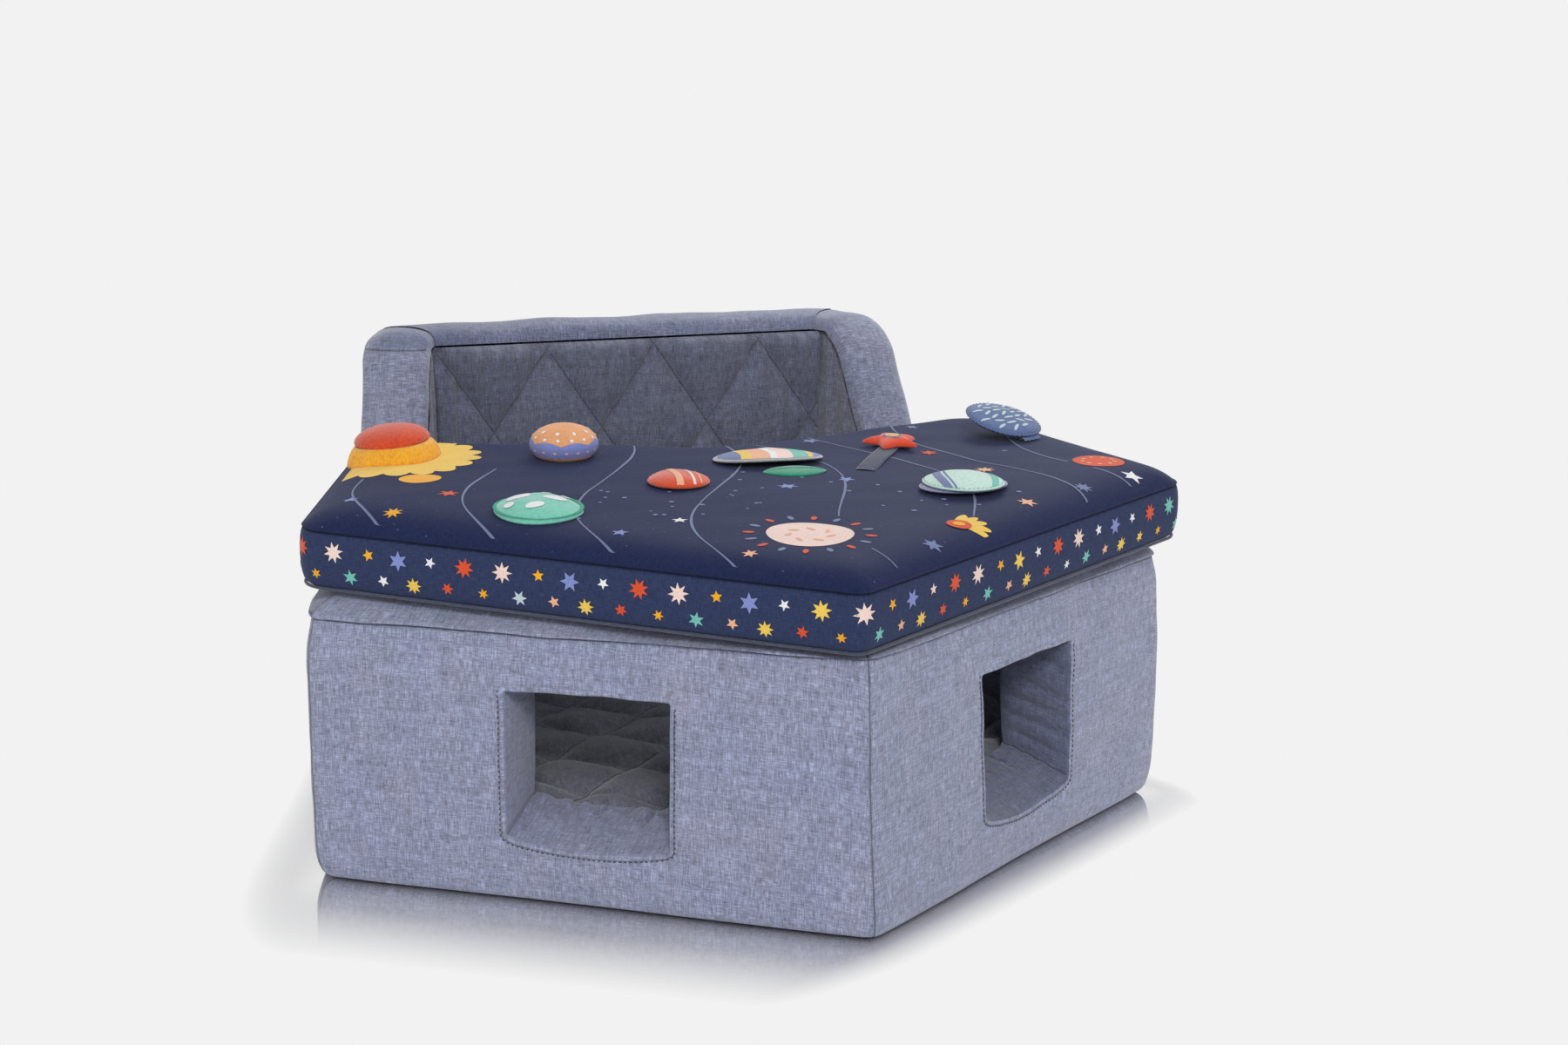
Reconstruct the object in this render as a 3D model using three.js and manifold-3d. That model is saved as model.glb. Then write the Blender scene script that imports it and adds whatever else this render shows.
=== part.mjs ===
// Baby activity seat: five foam walls in a fabric cover round a quilted well, with a lift-off play tray.
// Millimetres, +Z up. The front corner points to -Y, the backrest stands at +Y.
import * as THREE from 'three';
import { mergeVertices } from 'three/addons/utils/BufferGeometryUtils.js';
import Module from 'manifold-3d';

const wasm = await Module();
wasm.setup();

// Seat: a regular pentagon in plan
const SIDE = 405;              // length of one side at the outer face
const WALL_T = 52;             // whole thickness of a wall
const SEAM_H = 190;            // floor to the seam on top of the low walls
const BACK_SEAM_H = 328;       // floor to the seam on top of the backrest
const PANEL_T = 2.5;           // padded fabric panel on each face of a wall
const BASE_T = 4;              // non-slip underside
const FLOOR_FOAM_T = 30;       // foam floor of the well
const GAP = 0.3;               // clearance between neighbouring pieces
const CAP_EDGE = 0.35;         // share of a top roll's height that stands upright at its edge

// Wings: the backrest ends that sweep down onto the side walls
const WING_RUN = 122;          // back corner to the foot of the wing
const WING_LEAN = 23;          // degrees from upright
const WING_CAP_T = 12;         // thickness of the roll over the wing and the backrest
const WING_TOP_R = 46;
const WING_FOOT_R = 8;

// Foot windows in the two front walls
const WINDOW_W = 127;
const WINDOW_SILL = 48.5;
const WINDOW_HEAD = 150;
const SILL_RISE = 17;          // the sill climbs by this much toward the inside
const SLEEVE_T = 1.6;

// Quilted pads
const MAT_T = 30;
const MAT_EDGE_T = 18;
const BACK_PAD_T = 16;
const BACK_PAD_EDGE_T = 6;
const BACK_PAD_DROP = 3;       // from the backrest seam down to the top of the pad
const QUILT_W = 75;            // width of a stitched diamond
const QUILT_H = 112;           // height of a stitched diamond
const QUILT_DEPTH = 7;
const PAD_SHOULDER = 24;       // run over which a pad rises from its edge

// Tray: rests on the low walls, tipped toward the front corner
const TRAY_REST = 5;           // tray's underside above the front seam, at the front corner
const TRAY_TILT = 3.32;        // degrees, front down
const TRAY_OVERHANG = 6;
const TRAY_YAW = -2.8;         // degrees: the tray lies a little askew on the seat
const TRAY_SHIFT = 6;          // and this far to the right
const TRAY_ARM = 225;          // side edge of the tray, from its widest corner backward
const TRAY_NOTCH_LEAN = 17.8;  // degrees between a rear edge and the X axis
const TRAY_BELLY_R = 165;
const TRAY_FRONT_R = 14;
const TRAY_SIDE_R = 26;
const TRAY_REAR_R = 26;
const TRAY_EDGE_H = 42;        // underside to the seam round the top
const TRAY_CROWN = 16;         // rise of the top from its seam to its middle
const CROWN_POWER = 18;        // the greater, the farther out the crown stays flat
const TRAY_TOP_T = 11;         // wadding under the top cover, at the edge
const TRAY_LIP = 2.7;          // depth of the top cover over the edge band
const TRAY_COVER_T = 1.5;
const BAND_T = 1.6;

// Touch-fastener strips between the side walls and the tray
const STRIP_L = 120;
const STRIP_W = 22;
const STRIP_T = 1.5;
const STRIP_START = 60;        // widest corner of the seat to the start of a strip

// Zip in the back panel
const ZIP_L = 330;
const ZIP_W = 16;
const ZIP_T = 1.6;
const ZIP_Z = 34;
const SLIDER_END = 4;          // from the end of the tape to the slider
const SLIDER_L = 13;
const SLIDER_W = 9;
const SLIDER_T = 3.2;

// Toys: place over the seat from its front corner (x right, y back), then their sizes
const BIG_DOME = { x: -234, y: 400, bandR: 34, bandH: 11, bandW: 7, capR: 28, h: 22 };
const SMALL_DOME = { x: -114, y: 353, r: 25.5, footR: 21, h: 25 };
const MINT_PATCH = { x: -172, y: 200, width: 62, depth: 66, t: 10 };
const CORAL_FLAP = { x: -56, y: 272, width: 45, depth: 48, t: 9, yaw: 0, rest: 2 };
const BIG_FLAP = { x: 32, y: 330, width: 84, depth: 60, t: 5, yaw: -4, rest: 6 };
const GREEN_TAB = { x: 38, y: 273, width: 48, depth: 30, t: 4, yaw: -6, rest: 1 };
const MINT_FLAP = { x: 147, y: 216, width: 60, depth: 64, t: 8, yaw: -12, rest: 2 };
const MINT_BACKING = { width: 70, depth: 50, t: 2, turn: 24 };
const BLUE_PILLOW = { x: 255, y: 324, width: 60, depth: 58, t: 9, yaw: 207, rest: 15 };
const RIBBON = { x: 90, y: 252, length: 96, width: 15, t: 1.4, yaw: 56 };
const STAR_TOY = { reach: 88, r: 24, waist: 13, t: 7 };

// Fineness of curves
const ARC_STEPS = 6;
const OVAL_STEPS = 20;
const LATHE_STEPS = 20;
const CROWN_SCALES = [0.985, 0.96, 0.92, 0.87, 0.79, 0.6];

const DEG = Math.PI / 180;
const HALF_ANGLE = 54 * DEG;   // half of a pentagon's inner corner
const COT_MITRE = 1 / Math.tan(HALF_ANGLE);
const CORNERS = [0, 1, 2, 3, 4];
const FIFTH = 72 * DEG;        // a pentagon's turn from side to side
const FRONT_ANGLE = 36 * DEG;  // between a front wall and the X axis
const SIDE_ANGLE = 18 * DEG;   // between a side wall and the Y axis
const CORNER_R = SIDE / (2 * Math.sin(FRONT_ANGLE));
const TILT = TRAY_TILT * DEG;
const SLOPE = Math.tan(TILT);
const MAT_Z = BASE_T + FLOOR_FOAM_T + 2 * GAP;
const TRAY_SEAT_H = SEAM_H + TRAY_REST;

// Materials
function cloth(color) {
  return new THREE.MeshStandardMaterial({ color, roughness: 0.92, metalness: 0 });
}
function felt(color) {
  return new THREE.MeshStandardMaterial({ color, roughness: 1, metalness: 0 });
}
function foam() {
  return new THREE.MeshStandardMaterial({ color: 0xe9e4d2, roughness: 0.95, metalness: 0 });
}
function metal() {
  return new THREE.MeshStandardMaterial({ color: 0x9a9ca2, roughness: 0.4, metalness: 0.9 });
}
const LAVENDER = 0x8e94ac;
const SLATE = 0x5d6478;
const DARK_LINING = 0x454b5e;
const NAVY = 0x2b3352;
const BLACK = 0x22242a;
const CORAL = 0xdb5630;
const YELLOW = 0xf3c23b;
const PEACH = 0xf0a56d;
const MINT = 0x86d3b8;
const LIGHT_MINT = 0xbfe3d6;
const VIOLET = 0x8a8bc0;
const GREEN = 0x16986f;
const TAN = 0xc9a98c;
const BLUE = 0x54699c;

// Closed bodies from vertices and triangles
function signedVolume(points, faces) {
  return faces.reduce((sum, [a, b, c]) => {
    return sum + points[a].dot(new THREE.Vector3().crossVectors(points[b], points[c])) / 6;
  }, 0);
}
function closedBody(points, faces) {
  const outward = signedVolume(points, faces) > 0;
  const order = outward ? faces : faces.map(([a, b, c]) => [a, c, b]);
  const geometry = new THREE.BufferGeometry();
  geometry.setAttribute('position', new THREE.Float32BufferAttribute(points.flatMap((p) => p.toArray()), 3));
  geometry.setIndex(order.flat());
  geometry.computeVertexNormals();
  return geometry;
}
function fanFaces(count) {
  return Array.from({ length: count - 2 }, (_, i) => [0, i + 1, i + 2]);
}
function planFaces(loop) {
  return THREE.ShapeUtils.triangulateShape(loop.map((p) => new THREE.Vector2(p.x, p.y)), []);
}
// Loops of equal length joined in turn, with the first and last loop closed by the given triangles
function loft(rings, firstFaces, lastFaces) {
  const n = rings[0].length;
  const faces = [];
  for (let r = 0; r < rings.length - 1; r += 1) {
    for (let i = 0; i < n; i += 1) {
      const a = r * n + i;
      const b = r * n + ((i + 1) % n);
      faces.push([a, b, b + n], [a, b + n, a + n]);
    }
  }
  const last = (rings.length - 1) * n;
  firstFaces.forEach(([a, b, c]) => faces.push([a, c, b]));
  lastFaces.forEach(([a, b, c]) => faces.push([last + a, last + b, last + c]));
  return closedBody(rings.flat(), faces);
}
function solidOf(geometry) {
  const bare = geometry.clone();
  bare.deleteAttribute('normal');
  bare.deleteAttribute('uv');
  const merged = mergeVertices(bare, 1e-4);
  return new wasm.Manifold(new wasm.Mesh({
    numProp: 3,
    vertProperties: merged.attributes.position.array,
    triVerts: Uint32Array.from(merged.index.array),
  }));
}
function geometryOf(solid) {
  const mesh = solid.getMesh();
  const geometry = new THREE.BufferGeometry();
  geometry.setAttribute('position', new THREE.BufferAttribute(mesh.vertProperties, 3));
  geometry.setIndex(new THREE.BufferAttribute(mesh.triVerts, 1));
  geometry.computeVertexNormals();
  return geometry;
}
function cut(geometry, ...tools) {
  return geometryOf(tools.reduce((left, tool) => left.subtract(solidOf(tool)), solidOf(geometry)));
}
function common(first, second) {
  return geometryOf(solidOf(first).intersect(solidOf(second)));
}
function prism(points, z0, z1) {
  const shape = new THREE.Shape(points.map(([x, y]) => new THREE.Vector2(x, y)));
  const geometry = new THREE.ExtrudeGeometry(shape, { depth: z1 - z0, bevelEnabled: false });
  return geometry.translate(0, 0, z0);
}
function turned(profile) {
  const points = profile.map(([r, z]) => new THREE.Vector2(r, z));
  const geometry = geometryOf(solidOf(new THREE.LatheGeometry(points, LATHE_STEPS)));
  return geometry.rotateX(Math.PI / 2);
}

// Plan outlines
function lineMeet(p, u, q, v) {
  const t = ((q[0] - p[0]) * v[1] - (q[1] - p[1]) * v[0]) / (u[0] * v[1] - u[1] * v[0]);
  return [p[0] + u[0] * t, p[1] + u[1] * t];
}
function offsetOutline(points, inset) {
  const n = points.length;
  const edges = points.map((p, i) => {
    const q = points[(i + 1) % n];
    const length = Math.hypot(q[0] - p[0], q[1] - p[1]);
    const u = [(q[0] - p[0]) / length, (q[1] - p[1]) / length];
    return { p: [p[0] - u[1] * inset, p[1] + u[0] * inset], u };
  });
  return edges.map((edge, i) => {
    const before = edges[(i + n - 1) % n];
    return lineMeet(before.p, before.u, edge.p, edge.u);
  });
}
// One round corner as points from tangent to tangent
function roundCorner(before, corner, after, radius) {
  const u = new THREE.Vector2(before[0] - corner[0], before[1] - corner[1]).normalize();
  const v = new THREE.Vector2(after[0] - corner[0], after[1] - corner[1]).normalize();
  const half = Math.acos(u.dot(v)) / 2;
  const middle = u.clone().add(v).normalize().multiplyScalar(radius / Math.sin(half));
  const reach = radius / Math.tan(half);
  const start = u.clone().multiplyScalar(reach).sub(middle);
  const sweep = (Math.PI - 2 * half) * Math.sign(u.cross(v));
  return Array.from({ length: ARC_STEPS + 1 }, (_, i) => {
    const arm = start.clone().rotateAround(new THREE.Vector2(), (-sweep * i) / ARC_STEPS);
    return [corner[0] + middle.x + arm.x, corner[1] + middle.y + arm.y];
  });
}
function pentagon(inset) {
  const radius = CORNER_R - inset / Math.sin(HALF_ANGLE);
  return CORNERS.map((k) => {
    const angle = FIFTH * k - Math.PI / 2;
    return [radius * Math.cos(angle), radius * Math.sin(angle)];
  });
}

// A wall's own frame: s along its outer face, w inward, z up. Walls run counterclockwise.
function wallFrame(k) {
  const [x, y] = pentagon(0)[k];
  const frame = new THREE.Group();
  frame.position.set(x, y, 0);
  frame.rotation.z = FIFTH * k + FRONT_ANGLE;
  return frame;
}
const [FRONT_RIGHT, RIGHT_SIDE, BACK, LEFT_SIDE, FRONT_LEFT] = CORNERS;

function mitredPlan(w0, w1) {
  return [w0, w1].flatMap((w, i) => {
    const start = [w * COT_MITRE + GAP, w];
    const end = [SIDE - w * COT_MITRE - GAP, w];
    return i === 0 ? [start, end] : [end, start];
  });
}
// A slab of wall with the given side outline [s, z], between depths w0 and w1, mitred at both ends
function wallSlab(outline, w0, w1) {
  const long = prism(outline, 0, w1 - w0 + 2);
  long.rotateX(Math.PI / 2).translate(0, w1 + 1, 0);
  return common(long, prism(mitredPlan(w0, w1), 0, 2 * BACK_SEAM_H));
}

// Side outlines of the seam and of the roll's ridge, as matching stations from the front end backward
function trayPlane(y) {
  return TRAY_SEAT_H + SLOPE * y;
}
function sideRidgeHeight(s) {
  const y = SIDE * Math.cos(HALF_ANGLE) + s * Math.cos(SIDE_ANGLE) - WALL_T * Math.sin(SIDE_ANGLE);
  return trayPlane(y) - GAP;
}
function sweptProfile(startZ, footZ, topZ, faceShift, footR, topR) {
  const lean = [Math.sin(WING_LEAN * DEG), Math.cos(WING_LEAN * DEG)];
  const foot = [SIDE - WING_RUN, sideRidgeHeight(SIDE - WING_RUN)];
  const face = [foot[0] + faceShift / lean[1], foot[1]];
  const low = [0, startZ];
  const onLow = (share) => [corner[0] * share, startZ + (corner[1] - startZ) * share];
  const corner = lineMeet(low, [foot[0], footZ - startZ], face, lean);
  const shoulder = lineMeet([0, topZ], [1, 0], face, lean);
  return [
    low,
    onLow(0.36),
    onLow(0.72),
    ...roundCorner(low, corner, shoulder, footR),
    ...roundCorner(corner, shoulder, [SIDE, topZ], topR),
    [SIDE, topZ],
  ];
}
const sideSeam = sweptProfile(
  SEAM_H, sideRidgeHeight(SIDE - WING_RUN) - WING_CAP_T, BACK_SEAM_H, WING_CAP_T,
  WING_FOOT_R + WING_CAP_T, WING_TOP_R - WING_CAP_T,
);
const sideRidge = sweptProfile(
  sideRidgeHeight(0), sideRidgeHeight(SIDE - WING_RUN), BACK_SEAM_H + WING_CAP_T, 0,
  WING_FOOT_R, WING_TOP_R,
);
function levelSeam(z, spans) {
  return Array.from({ length: spans + 1 }, (_, i) => [(SIDE * i) / spans, z]);
}
const frontSeam = levelSeam(SEAM_H, 4);
const backSeam = levelSeam(BACK_SEAM_H, 3);

function wallOutline(seam) {
  return [[0, BASE_T + GAP], [SIDE, BASE_T + GAP], ...[...seam].reverse()];
}
function seamOf(k) {
  if (k === BACK) return backSeam;
  if (k === RIGHT_SIDE) return sideSeam;
  if (k === LEFT_SIDE) return sideSeam.map(([s, z]) => [SIDE - s, z]).reverse();
  return frontSeam;
}
// Height of a roll's ridge at each station of its seam, at depth w
function ridgeOf(k, w) {
  if (k === BACK) return backSeam.map(([s, z]) => [s, z + WING_CAP_T]);
  if (k === RIGHT_SIDE) return sideRidge;
  if (k === LEFT_SIDE) return sideRidge.map(([s, z]) => [SIDE - s, z]).reverse();
  const rise = Math.sin(FRONT_ANGLE);
  const inward = Math.cos(FRONT_ANGLE) * w;
  return frontSeam.map(([s]) => {
    const along = k === FRONT_RIGHT ? s : SIDE - s;
    return [s, trayPlane(along * rise + inward) - GAP];
  });
}
// Cross-section of a roll: depth across the wall and share of the full height
function rollSection() {
  const shoulder = [[0, CAP_EDGE], [0.035, 0.66], [0.11, 0.9], [0.24, 1]];
  const mirrored = shoulder.map(([w, f]) => [1 - w, f]).reverse();
  return [...shoulder, ...mirrored].map(([w, f]) => [w * WALL_T, f]);
}
// A line's end stations are drawn back along the line to the mitre at depth w
function atMitre(line, index, w) {
  const last = line.length - 1;
  if (index !== 0 && index !== last) return line[index];
  const [from, toward] = index === 0 ? [line[0], line[1]] : [line[last], line[last - 1]];
  const t = (w * COT_MITRE + GAP) / Math.abs(toward[0] - from[0]);
  return [from[0] + (toward[0] - from[0]) * t, from[1] + (toward[1] - from[1]) * t];
}
// The padded roll over a wall's seam
function topRoll(k) {
  const seam = seamOf(k);
  const section = [[0, 0], ...rollSection(), [WALL_T, 0]];
  const rings = seam.map((_, i) => section.map(([w, f]) => {
    const low = atMitre(seam, i, w);
    const high = atMitre(ridgeOf(k, w), i, w);
    const height = Math.hypot(high[0] - low[0], high[1] - low[1]);
    const share = Math.max(f, GAP / height);
    return new THREE.Vector3(low[0] + (high[0] - low[0]) * share, w, low[1] + (high[1] - low[1]) * share);
  }));
  return loft(rings, fanFaces(section.length), fanFaces(section.length));
}

// Foot window: a passage through a front wall whose sill climbs inward
function windowPassage(grow, w0, w1) {
  const sill = (w) => WINDOW_SILL - grow + (SILL_RISE * w) / WALL_T;
  const outline = [[w0, sill(w0)], [w1, sill(w1)], [w1, WINDOW_HEAD + grow], [w0, WINDOW_HEAD + grow]];
  const geometry = prism(outline, (SIDE - WINDOW_W) / 2 - grow, (SIDE + WINDOW_W) / 2 + grow);
  const toWall = new THREE.Matrix4().makeBasis(
    new THREE.Vector3(0, 1, 0), new THREE.Vector3(0, 0, 1), new THREE.Vector3(1, 0, 0),
  );
  return geometry.applyMatrix4(toWall);
}
function throughWindow(grow) {
  return windowPassage(grow, -5, WALL_T + 5);
}

// Quilted pads: a flat back and a face puffed between diagonal stitch lines
function puff(i, j) {
  const swell = [0, 0.72, 1, 0.72];
  const wrap = (n) => ((n % 4) + 4) % 4;
  return swell[wrap(i + j)] * swell[wrap(i - j)];
}
function quiltedPad(width, height, columns, rows, thickness) {
  const at = (i, j) => j * (columns + 1) + i;
  const points = [];
  for (let j = 0; j <= rows; j += 1) {
    for (let i = 0; i <= columns; i += 1) {
      const x = (width * i) / columns;
      const y = (height * j) / rows;
      points.push(new THREE.Vector3(x, y, thickness(x, y, i, j)));
    }
  }
  const faces = [];
  for (let j = 0; j < rows; j += 1) {
    for (let i = 0; i < columns; i += 1) {
      const [a, b, c, d] = [at(i, j), at(i + 1, j), at(i + 1, j + 1), at(i, j + 1)];
      if ((i + j + 1) % 4 === 0) faces.push([a, b, d], [b, c, d]);
      else faces.push([a, b, c], [a, c, d]);
    }
  }
  const rim = [];
  for (let i = 0; i < columns; i += 1) rim.push(at(i, 0));
  for (let j = 0; j < rows; j += 1) rim.push(at(columns, j));
  for (let i = columns; i > 0; i -= 1) rim.push(at(i, rows));
  for (let j = rows; j > 0; j -= 1) rim.push(at(0, j));
  const under = points.length;
  rim.forEach((index) => points.push(new THREE.Vector3(points[index].x, points[index].y, 0)));
  rim.forEach((index, n) => {
    const next = (n + 1) % rim.length;
    faces.push([index, under + n, under + next], [index, under + next, rim[next]]);
  });
  planFaces(points.slice(under)).forEach(([a, b, c]) => faces.push([under + a, under + c, under + b]));
  return closedBody(points, faces);
}
function shoulderShare(distance) {
  const t = Math.min(Math.max(distance / PAD_SHOULDER, 0), 1);
  return Math.sqrt(t * (2 - t));
}
function backPad() {
  const start = (WALL_T + 2 * GAP - WALL_T * Math.sin(SIDE_ANGLE)) / Math.cos(SIDE_ANGLE);
  const bottom = MAT_Z + MAT_T + GAP;
  const width = SIDE - 2 * start;
  const height = BACK_SEAM_H - BACK_PAD_DROP - bottom;
  const columns = 4 * Math.round(width / QUILT_W);
  const rows = Math.round((4 * height) / QUILT_H);
  const pad = quiltedPad(width, height, columns, rows, (x, y, i, j) => {
    const edge = Math.min(x, width - x, y, height - y);
    const full = BACK_PAD_T - QUILT_DEPTH + QUILT_DEPTH * puff(i, j);
    return BACK_PAD_EDGE_T + (full - BACK_PAD_EDGE_T) * shoulderShare(edge);
  });
  const toWall = new THREE.Matrix4().makeBasis(
    new THREE.Vector3(-1, 0, 0), new THREE.Vector3(0, 0, 1), new THREE.Vector3(0, 1, 0),
  );
  return pad.applyMatrix4(toWall).translate(SIDE - start, WALL_T + GAP, bottom);
}
function seatMat() {
  const outline = pentagon(WALL_T + 2 * GAP);
  const reach = CORNER_R - WALL_T;
  const span = 2 * reach;
  const across = 4 * Math.round(span / QUILT_W);
  const edgeDistance = (x, y) => Math.min(...outline.map((p, i) => {
    const q = outline[(i + 1) % 5];
    const length = Math.hypot(q[0] - p[0], q[1] - p[1]);
    return ((q[0] - p[0]) * (y - p[1]) - (q[1] - p[1]) * (x - p[0])) / length;
  }));
  const block = quiltedPad(span, span, across, across, (x, y, i, j) => {
    const full = MAT_T - QUILT_DEPTH + QUILT_DEPTH * puff(i, j);
    return MAT_EDGE_T + (full - MAT_EDGE_T) * shoulderShare(edgeDistance(x - reach, y - reach));
  });
  return common(block.translate(-reach, -reach, 0), prism(outline, -1, MAT_T + 1));
}

// Tray outline, seen from above, with its belly cut-out at the rear
function trayOutline(inset) {
  const side = [-Math.sin(SIDE_ANGLE), Math.cos(SIDE_ANGLE)];
  const front = [Math.cos(FRONT_ANGLE), Math.sin(FRONT_ANGLE)];
  const nose = [0, -TRAY_OVERHANG / Math.sin(HALF_ANGLE)];
  const reach = SIDE * Math.sin(HALF_ANGLE) + TRAY_OVERHANG / Math.cos(SIDE_ANGLE);
  const widest = lineMeet(nose, front, [reach, SIDE * Math.cos(HALF_ANGLE)], side);
  const rear = [widest[0] + side[0] * TRAY_ARM, widest[1] + side[1] * TRAY_ARM];
  const notch = [0, rear[1] - rear[0] * Math.tan(TRAY_NOTCH_LEAN * DEG)];
  const mirror = ([x, y]) => [-x, y];
  const corners = offsetOutline([nose, widest, rear, notch, mirror(rear), mirror(widest)], inset);
  const radii = [TRAY_FRONT_R, TRAY_SIDE_R, TRAY_REAR_R, TRAY_BELLY_R, TRAY_REAR_R, TRAY_SIDE_R];
  return corners.flatMap((corner, i) => {
    const before = corners[(i + 5) % 6];
    const after = corners[(i + 1) % 6];
    return roundCorner(before, corner, after, radii[i] + (i === 3 ? inset : -inset));
  });
}
const trayRim = trayOutline(0);
const trayMiddle = [0, trayRim.reduce((sum, p) => sum + p[1], 0) / trayRim.length];
function crownHeight(share) {
  return TRAY_EDGE_H + TRAY_CROWN * (1 - share ** CROWN_POWER);
}
// How far out a point of the tray lies: 0 in the middle, 1 at the rim
function rimShare(x, y) {
  const dx = x - trayMiddle[0];
  const dy = y - trayMiddle[1];
  return Math.max(...trayRim.map((p, i) => {
    const q = trayRim[(i + 1) % trayRim.length];
    const ux = p[0] - trayMiddle[0];
    const uy = p[1] - trayMiddle[1];
    const vx = q[0] - trayMiddle[0];
    const vy = q[1] - trayMiddle[1];
    const area = ux * vy - uy * vx;
    const a = (dx * vy - dy * vx) / area;
    const b = (ux * dy - uy * dx) / area;
    return a >= -1e-9 && b >= -1e-9 ? a + b : 0;
  }));
}
function trayTop(x, y) {
  return crownHeight(rimShare(x, y));
}
function level(points, z) {
  return points.map(([x, y]) => new THREE.Vector3(x, y, z));
}
function trayTopCover() {
  const inner = trayOutline(BAND_T + GAP);
  const lip = TRAY_EDGE_H - TRAY_LIP;
  const crown = CROWN_SCALES.map((k) => trayRim.map(([x, y]) => {
    const px = trayMiddle[0] + (x - trayMiddle[0]) * k;
    const py = trayMiddle[1] + (y - trayMiddle[1]) * k;
    return new THREE.Vector3(px, py, crownHeight(k));
  }));
  const rings = [
    level(inner, TRAY_EDGE_H - TRAY_TOP_T),
    level(inner, lip),
    level(trayRim, lip),
    level(trayRim, TRAY_EDGE_H),
    ...crown,
  ];
  return loft(rings, planFaces(rings[0]), planFaces(crown[crown.length - 1]));
}
function trayBand() {
  const top = TRAY_EDGE_H - TRAY_LIP - GAP;
  return cut(prism(trayRim, 0, top), prism(trayOutline(BAND_T), -1, top + 1));
}
// A plan point over the seat, as the tray sees it once it is set down askew
function toTray([x, y]) {
  const point = new THREE.Vector2(x - TRAY_SHIFT, y);
  point.rotateAround(new THREE.Vector2(...trayMiddle), -TRAY_YAW * DEG);
  return [point.x, point.y];
}
// Strips lie along the side walls; the same place over the seat serves the wall and the tray
function stripPlan(side, width, length) {
  const along = [-side * Math.sin(SIDE_ANGLE), Math.cos(SIDE_ANGLE)];
  const corner = [side * SIDE * Math.sin(HALF_ANGLE), SIDE * Math.cos(HALF_ANGLE)];
  const inward = [-side * Math.cos(SIDE_ANGLE), -Math.sin(SIDE_ANGLE)];
  const middle = STRIP_START + STRIP_L / 2;
  const centre = [0, 1].map((i) => corner[i] + along[i] * middle + inward[i] * (WALL_T / 2));
  const corners = [[-1, -1], [-1, 1], [1, 1], [1, -1]].map(([a, b]) => [0, 1].map((i) => {
    return centre[i] + (along[i] * a * length) / 2 + (inward[i] * b * width) / 2;
  }));
  return side > 0 ? corners : corners.reverse();
}
function stripPocket(side) {
  return stripPlan(side, STRIP_W + 2 * GAP, STRIP_L + 2 * GAP);
}
function trayBottomCover() {
  const plate = prism(trayOutline(BAND_T + GAP), 0, TRAY_COVER_T);
  const pockets = [1, -1].map((side) => prism(stripPocket(side).map(toTray), -1, TRAY_COVER_T + 1));
  return cut(plate, ...pockets);
}
function hookStrip(side) {
  return prism(stripPlan(side, STRIP_W, STRIP_L).map(toTray), 0, STRIP_T);
}
function trayFoam() {
  return prism(trayOutline(BAND_T + GAP), TRAY_COVER_T + GAP, TRAY_EDGE_H - TRAY_TOP_T - GAP);
}

// Soft toys
function oval(width, depth, turn = 0) {
  return Array.from({ length: OVAL_STEPS }, (_, i) => {
    const angle = (2 * Math.PI * i) / OVAL_STEPS;
    const x = (width / 2) * Math.cos(angle);
    const y = (depth / 2) * Math.sin(angle);
    return [x * Math.cos(turn) - y * Math.sin(turn), x * Math.sin(turn) + y * Math.cos(turn)];
  });
}
function leaf(width, depth) {
  const half = OVAL_STEPS / 2;
  return Array.from({ length: OVAL_STEPS }, (_, i) => {
    const t = (i % half) / half;
    const side = i < half ? 1 : -1;
    return [(side * width * (1 - 2 * t)) / 2, (side * depth * Math.sin(Math.PI * t)) / 2];
  });
}
function star(outer, inner, tips) {
  return Array.from({ length: 2 * tips }, (_, i) => {
    const angle = (Math.PI * i) / tips + Math.PI / 2;
    const r = i % 2 === 0 ? outer : inner;
    return [r * Math.cos(angle), r * Math.sin(angle)];
  });
}
// A stuffed flat toy: flat under, seamed round the edge and crowned on top
function stuffed(outline, thickness) {
  const layers = [[0.94, 0], [1, 0.34], [0.95, 0.66], [0.7, 0.94], [0.3, 1]];
  const rings = layers.map(([k, f]) => level(outline.map(([x, y]) => [x * k, y * k]), thickness * f));
  return loft(rings, planFaces(rings[0]), planFaces(rings[rings.length - 1]));
}
function domeArc(radius, z0, height, steps) {
  return Array.from({ length: steps + 1 }, (_, i) => {
    const angle = ((Math.PI / 2) * i) / steps;
    return [i === steps ? 0 : radius * Math.cos(angle), z0 + height * Math.sin(angle)];
  });
}
function bigDomeBand() {
  const { bandR, bandH, bandW } = BIG_DOME;
  const bore = bandR - bandW;
  return turned([
    [bore, 0],
    [bandR - 2, 0],
    [bandR, bandH * 0.3],
    [bandR - 1.5, bandH * 0.7],
    [bandR - 5, bandH],
    [bore, bandH],
    [bore, 0],
  ]);
}
function bigDomeCap() {
  const { bandR, bandH, bandW, capR, h } = BIG_DOME;
  const stem = bandR - bandW - GAP;
  const shelf = bandH + GAP;
  return turned([[0, 0], [stem, 0], [stem, shelf], ...domeArc(capR, shelf, h - shelf, 5)]);
}
function smallDome() {
  const { r, footR, h } = SMALL_DOME;
  return turned([[0, 0], [footR, 0], [r - 1.5, h * 0.2], ...domeArc(r, h * 0.42, h * 0.58, 5)]);
}

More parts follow.
